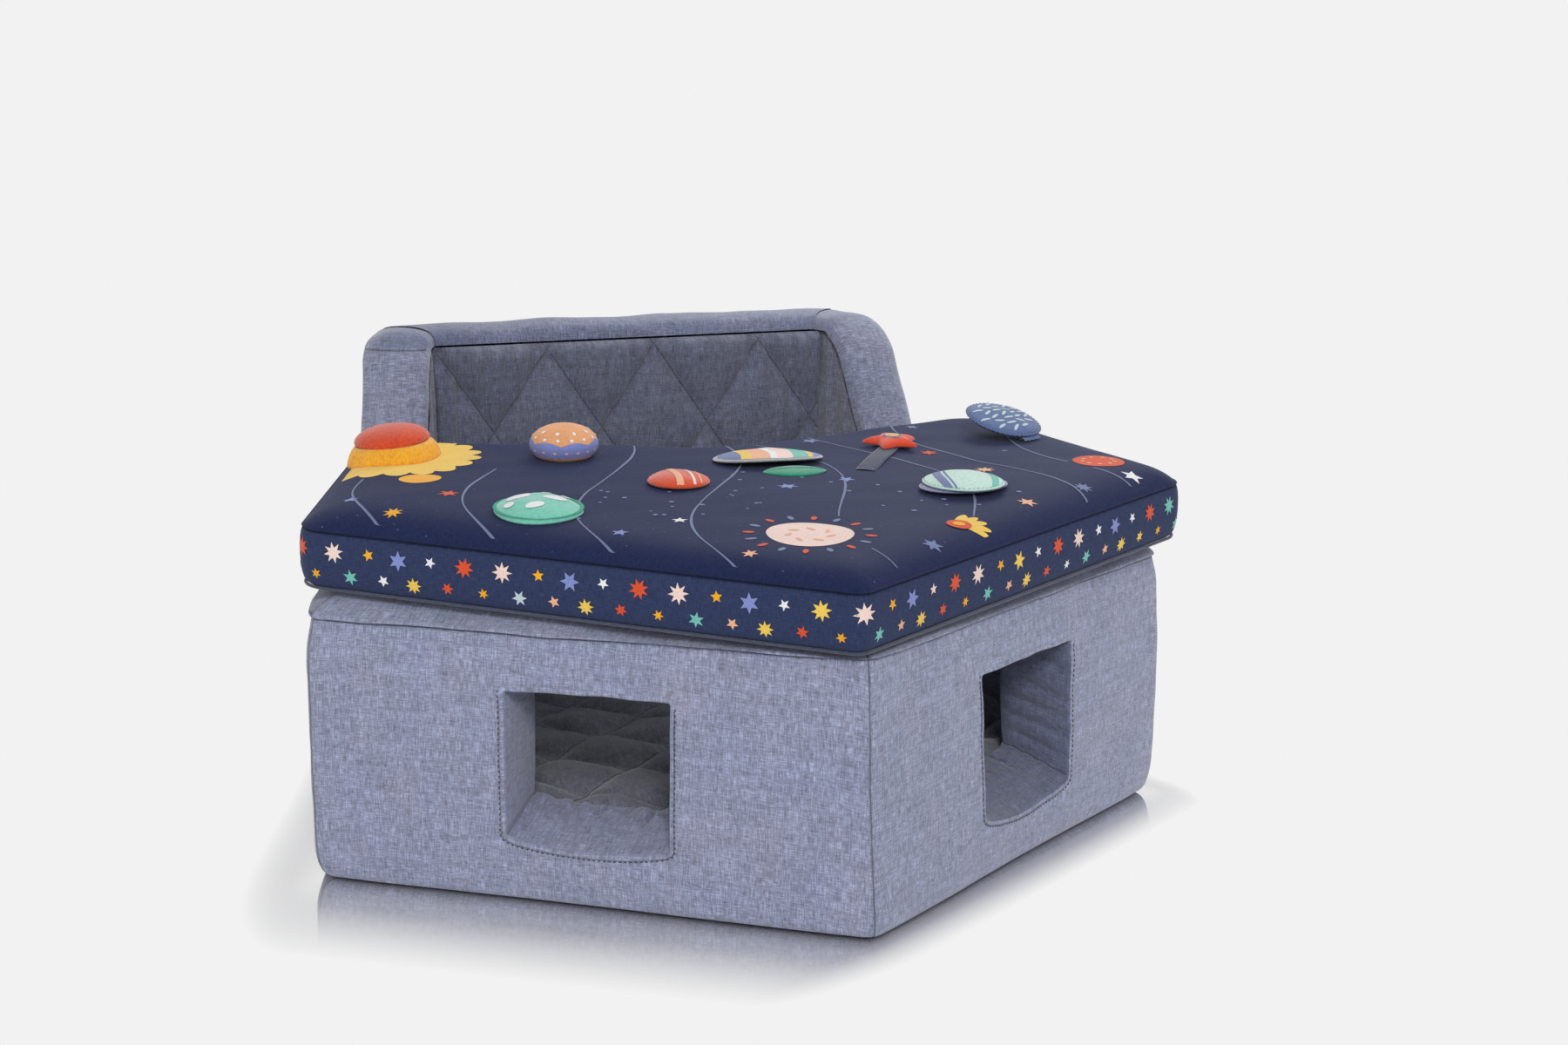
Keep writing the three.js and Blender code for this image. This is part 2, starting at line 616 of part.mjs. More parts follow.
// Seats a toy on the crowned top of the tray: its frame's Z leaves the surface and its X turns by yaw
function toyFrame(seatX, seatY, yaw, reach) {
  const [x, y] = toTray([seatX, seatY]);
  const step = 8;
  const slopeX = (trayTop(x + step, y) - trayTop(x - step, y)) / (2 * step);
  const slopeY = (trayTop(x, y + step) - trayTop(x, y - step)) / (2 * step);
  const centre = trayTop(x, y);
  const lift = Math.max(0, ...oval(2 * reach, 2 * reach).flatMap(([dx, dy]) => [0.5, 1].map((k) => {
    const plane = centre + slopeX * dx * k + slopeY * dy * k;
    return trayTop(x + dx * k, y + dy * k) - plane;
  })));
  const normal = new THREE.Vector3(-slopeX, -slopeY, 1).normalize();
  const frame = new THREE.Group();
  frame.position.set(x, y, centre + lift + GAP);
  frame.quaternion.setFromUnitVectors(new THREE.Vector3(0, 0, 1), normal);
  frame.rotateZ((yaw - TRAY_YAW) * DEG);
  return frame;
}
// A flap's frame: X is its sewn edge, the flap reaches along -Y and rests lifted by a few degrees
function flapFrame({ x, y, yaw, rest, depth }) {
  const centreX = x + Math.sin(yaw * DEG) * (depth / 2);
  const centreY = y - Math.cos(yaw * DEG) * (depth / 2);
  const seat = toyFrame(centreX, centreY, yaw, depth / 2);
  const hinge = new THREE.Group();
  hinge.position.set(0, depth / 2, 0);
  hinge.rotation.x = -rest * DEG;
  seat.add(hinge);
  return { seat, hinge };
}

function piece(name, geometry, material) {
  const mesh = new THREE.Mesh(geometry, material);
  mesh.name = name;
  return mesh;
}

// The seat's walls
function wall(k, name) {
  const frame = wallFrame(k);
  const outline = wallOutline(seamOf(k));
  const windowed = k === FRONT_RIGHT || k === FRONT_LEFT;
  const opened = (geometry) => (windowed ? cut(geometry, throughWindow(SLEEVE_T + GAP)) : geometry);
  const outer = opened(wallSlab(outline, 0, PANEL_T));
  const core = opened(wallSlab(outline, PANEL_T + GAP, WALL_T - PANEL_T - GAP));
  frame.add(piece(`${name}_foam`, core, foam()));
  frame.add(piece(`${name}_outer_panel`, k === BACK ? cut(outer, zipSlot()) : outer, cloth(LAVENDER)));
  frame.add(piece(`${name}_inner_panel`, opened(wallSlab(outline, WALL_T - PANEL_T, WALL_T)), cloth(SLATE)));
  frame.add(piece(`${name}_top_roll`, rollWithPocket(k), cloth(LAVENDER)));
  if (windowed) {
    const sleeve = cut(windowPassage(SLEEVE_T, 0, WALL_T), throughWindow(0));
    frame.add(piece(`${name}_window_sleeve`, sleeve, cloth(DARK_LINING)));
  }
  if (k === BACK) {
    frame.add(piece('quilted_back_pad', backPad(), cloth(SLATE)));
    frame.add(piece('back_zip_tape', zipTape(), cloth(BLACK)));
    frame.add(piece('back_zip_slider', zipSlider(), metal()));
  }
  return frame;
}

// Side walls carry a loop strip let into the flat of the roll, in the plane that the tray rests on
function onSeatPlane(geometry, drop) {
  const toSeat = new THREE.Matrix4().makeRotationX(TILT).setPosition(0, -CORNER_R, TRAY_SEAT_H - drop);
  return geometry.applyMatrix4(toSeat);
}
function loopStrip(side) {
  return onSeatPlane(prism(stripPlan(side, STRIP_W, STRIP_L), -STRIP_T, 0), 2 * GAP);
}
function rollWithPocket(k) {
  if (k !== RIGHT_SIDE && k !== LEFT_SIDE) return topRoll(k);
  const frame = wallFrame(k);
  frame.updateMatrixWorld();
  const side = k === RIGHT_SIDE ? 1 : -1;
  const pocket = onSeatPlane(prism(stripPocket(side), -STRIP_T - GAP, STRIP_T), 2 * GAP);
  return cut(topRoll(k), pocket.applyMatrix4(frame.matrixWorld.clone().invert()));
}

// The zip lies in a slot of the back panel
function slab(s0, s1, w0, w1, z0, z1) {
  const block = new THREE.BoxGeometry(s1 - s0, w1 - w0, z1 - z0);
  return block.translate((s0 + s1) / 2, (w0 + w1) / 2, (z0 + z1) / 2);
}
function zipSlot() {
  const half = ZIP_L / 2 + GAP;
  const rise = ZIP_W / 2 + GAP;
  return slab(SIDE / 2 - half, SIDE / 2 + half, -1, PANEL_T + 1, ZIP_Z - rise, ZIP_Z + rise);
}
function zipTape() {
  const [s0, s1] = [(SIDE - ZIP_L) / 2, (SIDE + ZIP_L) / 2];
  return slab(s0, s1, PANEL_T - ZIP_T, PANEL_T, ZIP_Z - ZIP_W / 2, ZIP_Z + ZIP_W / 2);
}
function zipSlider() {
  const s1 = (SIDE + ZIP_L) / 2 - SLIDER_END;
  const w1 = PANEL_T - ZIP_T - GAP;
  return slab(s1 - SLIDER_L, s1, w1 - SLIDER_T, w1, ZIP_Z - SLIDER_W / 2, ZIP_Z + SLIDER_W / 2);
}

function seatBase() {
  const base = new THREE.Group();
  base.add(piece('non_slip_base', prism(pentagon(0), 0, BASE_T), cloth(BLACK)));
  const floorZ = BASE_T + GAP;
  base.add(piece('floor_foam', prism(pentagon(WALL_T + GAP), floorZ, floorZ + FLOOR_FOAM_T), foam()));
  const mat = piece('quilted_seat_mat', seatMat(), cloth(SLATE));
  mat.position.z = MAT_Z;
  base.add(mat);
  base.add(wall(FRONT_RIGHT, 'front_right_wall'));
  base.add(wall(RIGHT_SIDE, 'right_side_wall'));
  base.add(wall(BACK, 'backrest'));
  base.add(wall(LEFT_SIDE, 'left_side_wall'));
  base.add(wall(FRONT_LEFT, 'front_left_wall'));
  base.add(piece('right_loop_strip', loopStrip(1), felt(BLACK)));
  base.add(piece('left_loop_strip', loopStrip(-1), felt(BLACK)));
  return base;
}

function flap(name, spec, outline, color) {
  const { seat, hinge } = flapFrame(spec);
  const mesh = piece(name, stuffed(outline, spec.t), felt(color));
  mesh.position.set(0, -spec.depth / 2, 0);
  hinge.add(mesh);
  return seat;
}
function mintFlap() {
  const { seat, hinge } = flapFrame(MINT_FLAP);
  const { width, depth, t, turn } = MINT_BACKING;
  const backing = piece('mint_flap_backing', prism(oval(width, depth, turn * DEG), 0, t), felt(VIOLET));
  const outline = oval(MINT_FLAP.width, MINT_FLAP.depth);
  const pad = piece('mint_flap_pad', stuffed(outline, MINT_FLAP.t), felt(LIGHT_MINT));
  backing.position.set(0, -MINT_FLAP.depth / 2, 0);
  pad.position.set(0, -MINT_FLAP.depth / 2, t + GAP);
  hinge.add(backing, pad);
  return seat;
}
// The ribbon is sewn down at its near end and carries the star toy at its far end
function starTether() {
  const { length, width, t } = RIBBON;
  const reach = length / 2;
  const centreX = RIBBON.x + Math.cos(RIBBON.yaw * DEG) * reach;
  const centreY = RIBBON.y + Math.sin(RIBBON.yaw * DEG) * reach;
  const seat = toyFrame(centreX, centreY, RIBBON.yaw, reach);
  const hinge = new THREE.Group();
  hinge.position.set(-reach, 0, 0);
  seat.add(hinge);
  const strip = new THREE.BoxGeometry(length, width, t).translate(reach, 0, t / 2);
  hinge.add(piece('toy_ribbon', strip, cloth(NAVY)));
  const toy = piece('star_toy', stuffed(star(STAR_TOY.r, STAR_TOY.waist, 5), STAR_TOY.t), felt(CORAL));
  toy.position.set(STAR_TOY.reach, 0, t + GAP);
  toy.rotation.z = -RIBBON.yaw * DEG;
  hinge.add(toy);
  return seat;
}

function playTray() {
  const seatPlane = new THREE.Group();
  seatPlane.position.set(0, -CORNER_R, TRAY_SEAT_H);
  seatPlane.rotation.x = TILT;
  const tray = new THREE.Group();
  const middle = new THREE.Vector2(...trayMiddle);
  const turnedMiddle = middle.clone().rotateAround(new THREE.Vector2(), TRAY_YAW * DEG);
  tray.position.set(middle.x - turnedMiddle.x + TRAY_SHIFT, middle.y - turnedMiddle.y, 0);
  tray.rotation.z = TRAY_YAW * DEG;
  seatPlane.add(tray);
  tray.add(piece('tray_bottom_cover', trayBottomCover(), cloth(SLATE)));
  tray.add(piece('tray_foam', trayFoam(), foam()));
  tray.add(piece('tray_edge_band', trayBand(), cloth(NAVY)));
  tray.add(piece('tray_top_cover', trayTopCover(), cloth(NAVY)));
  tray.add(piece('right_hook_strip', hookStrip(1), felt(BLACK)));
  tray.add(piece('left_hook_strip', hookStrip(-1), felt(BLACK)));

  const bigDome = toyFrame(BIG_DOME.x, BIG_DOME.y, 0, BIG_DOME.bandR);
  bigDome.add(piece('big_dome_band', bigDomeBand(), felt(YELLOW)));
  bigDome.add(piece('big_dome_cap', bigDomeCap(), cloth(CORAL)));
  const littleDome = toyFrame(SMALL_DOME.x, SMALL_DOME.y, 0, SMALL_DOME.r);
  littleDome.add(piece('small_dome', smallDome(), cloth(PEACH)));
  const patch = toyFrame(MINT_PATCH.x, MINT_PATCH.y, 0, MINT_PATCH.width / 2);
  const patchOutline = oval(MINT_PATCH.width, MINT_PATCH.depth);
  patch.add(piece('mint_patch', stuffed(patchOutline, MINT_PATCH.t), cloth(MINT)));
  tray.add(bigDome, littleDome, patch);

  const { width, depth } = GREEN_TAB;
  tray.add(flap('coral_flap', CORAL_FLAP, oval(CORAL_FLAP.width, CORAL_FLAP.depth), CORAL));
  tray.add(flap('striped_flap', BIG_FLAP, oval(BIG_FLAP.width, BIG_FLAP.depth), TAN));
  tray.add(flap('green_leaf_tab', GREEN_TAB, leaf(width, depth), GREEN));
  tray.add(flap('blue_pillow', BLUE_PILLOW, oval(BLUE_PILLOW.width, BLUE_PILLOW.depth), BLUE));
  tray.add(mintFlap());
  tray.add(starTether());
  return seatPlane;
}

const group = new THREE.Group();
group.add(seatBase(), playTray());
const extent = new THREE.Box3().setFromObject(group, true);
group.position.set(-(extent.min.x + extent.max.x) / 2, -(extent.min.y + extent.max.y) / 2, -extent.min.z);

export default group;
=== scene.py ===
# Baby activity seat: fabric covers, quilting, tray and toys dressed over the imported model
import itertools
import math

import bmesh
import bpy
import numpy as np
from mathutils import Matrix, Vector


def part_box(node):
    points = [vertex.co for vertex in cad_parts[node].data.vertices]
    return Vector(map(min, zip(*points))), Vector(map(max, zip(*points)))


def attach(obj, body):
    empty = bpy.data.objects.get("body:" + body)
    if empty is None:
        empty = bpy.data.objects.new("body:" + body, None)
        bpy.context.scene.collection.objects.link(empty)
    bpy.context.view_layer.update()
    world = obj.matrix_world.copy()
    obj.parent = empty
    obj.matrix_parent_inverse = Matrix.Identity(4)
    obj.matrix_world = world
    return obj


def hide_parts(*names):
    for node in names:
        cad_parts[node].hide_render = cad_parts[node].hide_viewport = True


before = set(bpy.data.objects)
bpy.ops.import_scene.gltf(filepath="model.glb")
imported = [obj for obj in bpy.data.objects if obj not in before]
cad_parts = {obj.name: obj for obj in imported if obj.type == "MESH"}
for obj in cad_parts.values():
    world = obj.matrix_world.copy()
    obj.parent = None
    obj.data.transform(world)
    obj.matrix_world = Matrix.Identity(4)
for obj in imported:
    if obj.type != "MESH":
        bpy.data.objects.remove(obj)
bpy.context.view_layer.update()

DEG = math.pi / 180

# Camera
CAMERA_LENS = 62.3
SENSOR_WIDTH = 36
CAMERA_PLACE = (-0.6180, -1.9128, 0.630)
CAMERA_DIP = 11.454
CAMERA_YAW = -19.1


def make_camera():
    data = bpy.data.cameras.new("camera")
    data.lens = CAMERA_LENS
    data.sensor_width = SENSOR_WIDTH
    cam = bpy.data.objects.new("camera", data)
    bpy.context.scene.collection.objects.link(cam)
    cam.location = CAMERA_PLACE
    cam.rotation_euler = ((90 - CAMERA_DIP) * DEG, 0, CAMERA_YAW * DEG)
    bpy.context.scene.camera = cam


make_camera()

# Seat, in metres, as in the part's source
SIDE = 0.405
WALL_T = 0.052
SEAM_H = 0.190
BACK_SEAM_H = 0.328
BASE_T = 0.0043
WING_RUN = 0.122
WING_LEAN = 23 * DEG
CAP_T = 0.012
WING_TOP_R = 0.046
WING_FOOT_R = 0.008
TRAY_SEAT_H = 0.195
TILT = 3.32 * DEG
GAP = 0.0003
WINDOW_SILL = 0.0485
WINDOW_HEAD = 0.150
SILL_RISE = 0.017
CORNER_ROUND = 0.012
CENTRE = (-0.00302, 0.03469)
COT = 1 / math.tan(54 * DEG)
CORNER_R = SIDE / (2 * math.sin(36 * DEG))
FRONT_RIGHT, RIGHT_SIDE, BACK, LEFT_SIDE, FRONT_LEFT = range(5)
WALLS = {
    FRONT_RIGHT: "front_right_wall",
    RIGHT_SIDE: "right_side_wall",
    BACK: "backrest",
    LEFT_SIDE: "left_side_wall",
    FRONT_LEFT: "front_left_wall",
}
# Start and end of the foot windows along their walls
WINDOWS = {FRONT_RIGHT: (0.139, 0.2625), FRONT_LEFT: (0.1472, 0.2666)}


class Waves:
    """Smooth irregular waves of about unit height, the same on every run."""

    def __init__(self, seed, low, high, count=14):
        rng = np.random.default_rng(seed)
        length = rng.uniform(low, high, count)
        way = rng.normal(size=(count, 3))
        way /= np.linalg.norm(way, axis=1)[:, None]
        self.k = way * (2 * math.pi / length)[:, None]
        self.phase = rng.uniform(0, 2 * math.pi, count)
        self.scale = math.sqrt(2 / count)

    def __call__(self, points):
        return np.sin(np.asarray(points) @ self.k.T + self.phase).sum(-1) * self.scale


# Meshes
def make_object(name, verts, faces, mats, uv=None, face_mats=None, attributes=None):
    mesh = bpy.data.meshes.new(name)
    mesh.from_pydata([tuple(v) for v in verts], [], [tuple(f) for f in faces])
    mesh.update()
    for mat in mats if isinstance(mats, (list, tuple)) else [mats]:
        mesh.materials.append(mat)
    if face_mats is not None:
        mesh.polygons.foreach_set("material_index", np.asarray(face_mats, np.int32))
    mesh.polygons.foreach_set("use_smooth", [True] * len(mesh.polygons))
    loops = np.empty(len(mesh.loops), np.int32)
    mesh.loops.foreach_get("vertex_index", loops)
    if uv is not None:
        layer = mesh.uv_layers.new(name="UVMap")
        layer.data.foreach_set("uv", np.asarray(uv, np.float32)[loops].ravel())
    for key, values in (attributes or {}).items():
        values = np.asarray(values, np.float32)
        kind = "FLOAT_VECTOR" if values.ndim == 2 else "FLOAT"
        attribute = mesh.attributes.new(key, kind, "POINT")
        attribute.data.foreach_set("vector" if values.ndim == 2 else "value", values.ravel())
    obj = bpy.data.objects.new(name, mesh)
    bpy.context.scene.collection.objects.link(obj)
    return obj


def grid_faces(rows, columns, keep=None, closed=False):
    """Four-sided faces over a grid of points, row by row; closed joins each row's ends."""
    faces = []
    last = columns if closed else columns - 1
    for j in range(rows - 1):
        for i in range(last):
            if keep is not None and not keep[j, i]:
                continue
            a = j * columns + i
            b = j * columns + (i + 1) % columns
            faces.append((a, b, b + columns, a + columns))
    return faces


def ring_caps(rows, count):
    """Faces that close the first and the last of the rings."""
    last = (rows - 1) * count
    return [list(range(count)), [last + i for i in range(count)]]


def capped(name, rows, mat, matrix=None):
    """A closed body through rings of points."""
    count = len(rows[0])
    faces = grid_faces(len(rows), count, closed=True) + ring_caps(len(rows), count)
    obj = make_object(name, np.concatenate(rows), faces, mat)
    fix_normals(obj)
    return obj if matrix is None else place(obj, matrix)


def level(ring, z):
    """A flat ring of points at a height."""
    return np.column_stack([ring, np.full(len(ring), z)])


def subdivide(obj):
    modifier = obj.modifiers.new("subdivision", "SUBSURF")
    modifier.levels = 1
    modifier.render_levels = 1


def dress(obj, body, nodes=()):
    """Name a piece's body and the nodes it replaces."""
    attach(obj, body)
    if nodes:
        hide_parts(*nodes)


def place(obj, matrix):
    obj.matrix_world = Matrix(matrix.tolist())
    bpy.context.view_layer.update()
    return obj


def fix_normals(obj):
    """Turn all faces outward."""
    mesh = bmesh.new()
    mesh.from_mesh(obj.data)
    bmesh.ops.recalc_face_normals(mesh, faces=mesh.faces)
    mesh.to_mesh(obj.data)
    mesh.free()


def fix_outward(obj, way):
    """Turn an open strip's faces to one side."""
    if sum(p.normal.dot(Vector(way)) for p in obj.data.polygons) < 0:
        obj.data.flip_normals()


# Materials, with the stitches beside a seam and the seam itself in metres
STITCH_PITCH = 0.0034
STITCH_OFFSET = 0.0017
STITCH_WIDTH = 0.0006
SEAM_WIDTH = 0.0011
# Distance that stands for a seam that isn't there
NO_SEAM = 1.0
WARM_TINT = (1.12, 1.02, 0.96, 1)
# Colour factor of the painted shade on the rolls
PAINTED_SHADE_TINT = (0.62, 0.645, 0.72, 1)


class Value:
    """An output inside a shader tree, which takes part in sums."""

    def __init__(self, nodes, socket):
        self.nodes, self.socket = nodes, socket

    def __add__(self, other):
        return self.nodes.math("ADD", self, other)

    def __sub__(self, other):
        return self.nodes.math("SUBTRACT", self, other)

    def __mul__(self, other):
        return self.nodes.math("MULTIPLY", self, other)

    def __truediv__(self, other):
        return self.nodes.math("DIVIDE", self, other)

    def other(self, output):
        """Another output of the same node."""
        return Value(self.nodes, self.socket.node.outputs[output])


class Nodes:
    """The shader tree of a material or a world."""

    def __init__(self, owner, output="ShaderNodeOutputMaterial"):
        self.owner = owner
        owner.use_nodes = True
        self.tree = owner.node_tree
        self.tree.nodes.clear()
        self.out = self.tree.nodes.new(output)

    def put(self, socket, value):
        if isinstance(value, Value):
            self.tree.links.new(value.socket, socket)
        else:
            socket.default_value = value

    def add(self, kind, inputs=None, output=0, **settings):
        """An output of a new node with these inputs and settings."""
        node = self.tree.nodes.new(kind)
        for key, value in settings.items():
            setattr(node, key, value)
        for key, value in (inputs or {}).items():
            self.put(node.inputs[key], value)
        return Value(self, node.outputs[output])

    def split(self, value, kind="ShaderNodeSeparateXYZ"):
        first = self.add(kind, {0: value})
        return first, first.other(1), first.other(2)

    def math(self, operation, a, b=0.0, clamp=False):
        return self.add("ShaderNodeMath", {0: a, 1: b}, operation=operation, use_clamp=clamp)

    def near(self, distance, reach):
        """1 at no distance, 0 from the reach on."""
        return self.math("SUBTRACT", 1.0, distance / reach, clamp=True)

    def mix(self, factor, a, b, blend="MIX"):
        return self.add("ShaderNodeMix", {0: factor, 6: a, 7: b}, 2, data_type="RGBA", blend_type=blend)

    def mix_shaders(self, factor, a, b):
        return self.add("ShaderNodeMixShader", {0: factor, 1: a, 2: b})

    def ramp(self, value, *stops):
        ramp = self.add("ShaderNodeValToRGB", {0: value})
        elements = ramp.socket.node.color_ramp.elements
        while len(elements) < len(stops):
            elements.new(0.5)
        for element, (place_at, colour) in zip(elements, stops):
            element.position = place_at
            element.color = colour
        return ramp

    def noise(self, vector, scale, detail=2.0, rough=0.5):
        return self.add("ShaderNodeTexNoise", {"Vector": vector, "Scale": scale, "Detail": detail, "Roughness": rough})

    def grain(self, uv, across, along, detail=2.0, rough=0.6):
        """Noise over a map in metres, with its own count per metre each way."""
        scaled = self.add("ShaderNodeVectorMath", {0: uv, 1: (across, along, 0)}, operation="MULTIPLY")
        return self.noise(scaled, 1.0, detail, rough)

    def bump(self, height, distance, strength=1.0, normal=None):
        inputs = {"Distance": distance, "Strength": strength, "Height": height}
        if normal is not None:
            inputs["Normal"] = normal
        return self.add("ShaderNodeBump", inputs)

    def shader(self, colour, roughness=0.9, normal=None, sheen=0.25, metallic=0.0, specular=0.25):
        inputs = {
            "Base Color": colour, "Roughness": roughness, "Metallic": metallic, "Sheen Weight": sheen,
            "Sheen Roughness": 0.5, "Specular IOR Level": specular,
        }
        if normal is not None:
            inputs["Normal"] = normal
        return self.close(self.add("ShaderNodeBsdfPrincipled", inputs))

    def close(self, shader):
        """Join the shader to the output; the material or world comes back."""
        self.put(self.out.inputs[0], shader)
        return self.owner


def srgb(r, g, b):
    def line(c):
        c /= 255
        return c / 12.92 if c <= 0.04045 else ((c + 0.055) / 1.055) ** 2.4
    return (line(r), line(g), line(b), 1)


def shade(colour, factor):
    return tuple(min(c * factor, 1) for c in colour[:3]) + (1,)


# Melange weave: streaked threads both ways over a UV map in metres, seams where the mesh says so
def melange(name, base, contrast=1.0, seams=0.85):
    n = Nodes(bpy.data.materials.new(name))
    uv = n.add("ShaderNodeUVMap", uv_map="UVMap")
    warp = n.grain(uv, 1150, 120)
    weft = n.grain(uv, 170, 1150)
    slub = n.grain(uv, 210, 26)
    band = n.grain(uv, 24, 240)
    fine = n.grain(uv, 1900, 1900, 1.0, 0.5)
    cloud = n.grain(uv, 9, 9, 2.0, 0.5)
    tint = n.grain(uv, 31, 19, 2.0, 0.5)
    blend = (warp * 0.42 + weft * 0.34) + (fine * 0.10 + slub * 0.14)
    blend = (blend - 0.5) + (band - 0.5) * 0.15
    blend = blend * (3.9 * contrast) + 0.5
    colour = n.ramp(
        blend, (0.0, shade(base, 0.5)), (0.4, shade(base, 0.88)), (0.6, shade(base, 1.1)), (1.0, shade(base, 1.7))
    )
    colour = n.mix(cloud * 0.12, colour, shade(base, 0.72))
    warm = n.math("MULTIPLY", n.math("SUBTRACT", tint, 0.35, clamp=True), 1.6, clamp=True)
    colour = n.mix(warm, colour, n.mix(1.0, colour, WARM_TINT, "MULTIPLY"))
    # Painted shade: the cloth darkens to a bluer tone where the mesh attribute asks for it
    painted_shade = n.add("ShaderNodeAttribute", output="Fac", attribute_name="painted_shade")
    colour = n.mix(painted_shade, colour, n.mix(1.0, colour, PAINTED_SHADE_TINT, "MULTIPLY"))
    threads = {"Vector": uv, "Scale": 190, "Distortion": 1.2, "Detail Scale": 2}
    across, along = [n.add("ShaderNodeTexWave", threads, "Fac", bands_direction=way) for way in "XY"]
    normal = n.bump((across + along) * 0.5 + blend * 0.7, 0.00028, 0.6)
    if seams:
        line, stitch = seam_lines(n, uv)
        colour = n.mix(line * seams, colour, shade(base, 0.28))
        normal = n.bump(stitch * 0.35 - line, 0.0009, 1.0, normal)
    return n.shader(colour, 0.88, normal, 0.35)


# The mesh attribute "seams" holds signed distances to up to three seams; the nearest one draws a groove
def seam_lines(n, uv):
    parts = n.split(n.add("ShaderNodeAttribute", output="Vector", attribute_name="seams"))
    first, second, third = [n.math("ABSOLUTE", part) for part in parts]
    near = n.math("MINIMUM", n.math("MINIMUM", first, second), third)
    u, v, _ = n.split(uv)
    dash = n.math("GREATER_THAN", n.math("SINE", (u + v) * (2 * math.pi / STITCH_PITCH)), -0.35)
    side = n.near(n.math("ABSOLUTE", near - STITCH_OFFSET), STITCH_WIDTH)
    return n.near(near, SEAM_WIDTH), dash * side


def seam_rows(*distances):
    """The mesh attribute for up to three seams."""
    spare = [np.full_like(distances[0], NO_SEAM)] * (3 - len(distances))
    return np.stack([*distances, *spare], -1).reshape(-1, 3)


# Plain or felted cloth of one colour, with a fine weave or a soft pile
def cloth(name, base, pile=0.0, weave=240, sheen=0.25, spread=0.16):
    n = Nodes(bpy.data.materials.new(name))
    place_at = n.add("ShaderNodeTexCoord", output="Object")
    fine = n.noise(place_at, 420 if pile else 900, 3.0, 0.7)
    tone = fine * 0.75 + n.noise(place_at, 26) * 0.25
    colour = n.ramp(
        tone, (0.28, shade(base, 1 - 2.2 * spread)), (0.5, base), (0.75, shade(base, 1 + 2.2 * spread))
    )
    grain = n.noise(place_at, weave * (2.2 if pile else 6), 2.0, 0.75)
    normal = n.bump(grain + fine * 0.6, 0.0003 + 0.0007 * pile, 0.55)
    return n.shader(colour, 0.92, normal, sheen)


LAVENDER = srgb(145, 151, 178)
LINING = srgb(116, 120, 138)
DARK_QUILT = srgb(102, 107, 127)
NAVY = srgb(33, 42, 78)
CORAL = srgb(222, 84, 48)
YELLOW = srgb(246, 205, 92)
GOLD = srgb(247, 176, 40)
PEACH = srgb(240, 172, 122)
MINT = srgb(122, 205, 184)
PALE_MINT = srgb(198, 229, 219)
PINK = srgb(248, 218, 208)
WHITE = srgb(243, 243, 246)
GREEN = srgb(22, 148, 112)
BLUE = srgb(98, 116, 160)
WAVE_BLUE = srgb(112, 124, 160)

outer_cloth = melange("outer_melange", LAVENDER)
inner_cloth = melange("inner_melange", LINING)
# The outer cloth darkened as painted shade, for the back and side walls
back_painted_shade_cloth = melange("back_painted_shade_melange", shade(LAVENDER, 0.84))
sleeve_cloth = melange("window_melange", srgb(140, 145, 172), 0.9)
shaded_sleeve_cloth = melange("shaded_window_melange", srgb(106, 112, 137), 0.9)
quilt_cloth = melange("quilt_melange", DARK_QUILT, 0.9, 0.22)
mat_cloth = melange("mat_melange", srgb(116, 119, 133), 0.9, 0.5)


# Seat geometry
def corner_point(k):
    angle = (72 * k - 90) * DEG
    return CENTRE[0] + CORNER_R * math.cos(angle), CENTRE[1] + CORNER_R * math.sin(angle)


def wall_to_world(k, s, w, z):
    x, y = corner_point(k % 5)
    a = (72 * k + 36) * DEG
    s, w, z = np.broadcast_arrays(s, w, z)
    return np.stack([x + s * math.cos(a) - w * math.sin(a), y + s * math.sin(a) + w * math.cos(a), z], -1)


def tray_plane(y):
    return TRAY_SEAT_H + math.tan(TILT) * y


def side_ridge(s):
    return tray_plane(SIDE * math.cos(54 * DEG) + s * math.cos(18 * DEG) - WALL_T * math.sin(18 * DEG)) - GAP


def meet(p, u, q, v):
    t = ((q[0] - p[0]) * v[1] - (q[1] - p[1]) * v[0]) / (u[0] * v[1] - u[1] * v[0])
    return np.array([p[0] + u[0] * t, p[1] + u[1] * t])


def round_corner(before, corner, after, radius, steps):
    """Points along the arc that rounds a corner."""
    before, corner, after = map(np.asarray, (before, corner, after))
    u = (before - corner) / np.linalg.norm(before - corner)
    v = (after - corner) / np.linalg.norm(after - corner)
    half = math.acos(float(u @ v)) / 2
    middle = (u + v) / np.linalg.norm(u + v) * radius / math.sin(half)
    start = u * radius / math.tan(half) - middle
    turn = -(math.pi - 2 * half) * np.sign(u[0] * v[1] - u[1] * v[0])
    points = []
    for i in range(steps + 1):
        c, s = math.cos(turn * i / steps), math.sin(turn * i / steps)
        arm = np.array([start[0] * c - start[1] * s, start[0] * s + start[1] * c])
        points.append(corner + middle + arm)
    return points


def line_points(a, b, count):
    return [np.asarray(a) + (np.asarray(b) - np.asarray(a)) * i / count for i in range(1, count)]


# Stations along a swept outline, the same for the seam and the ridge
def swept(start_z, foot_z, top_z, shift, foot_r, top_r):
    lean = np.array([math.sin(WING_LEAN), math.cos(WING_LEAN)])
    foot = np.array([SIDE - WING_RUN, side_ridge(SIDE - WING_RUN)])
    face = foot + [shift / lean[1], 0]
    low = np.array([0.0, start_z])
    knee = meet(low, [foot[0], foot_z - start_z], face, lean)
    shoulder = meet([0, top_z], [1, 0], face, lean)
    first = round_corner(low, knee, shoulder, foot_r, 6)
    second = round_corner(knee, shoulder, [SIDE, top_z], top_r, 10)
    edge = [low + (first[0] - low) * t for t in LOW_SHARES]
    top_end = np.array([SIDE, top_z])
    top = [second[-1] + (top_end - second[-1]) * t for t in TOP_SHARES]
    return np.array(edge + first + line_points(first[-1], second[0], 12) + second + top)


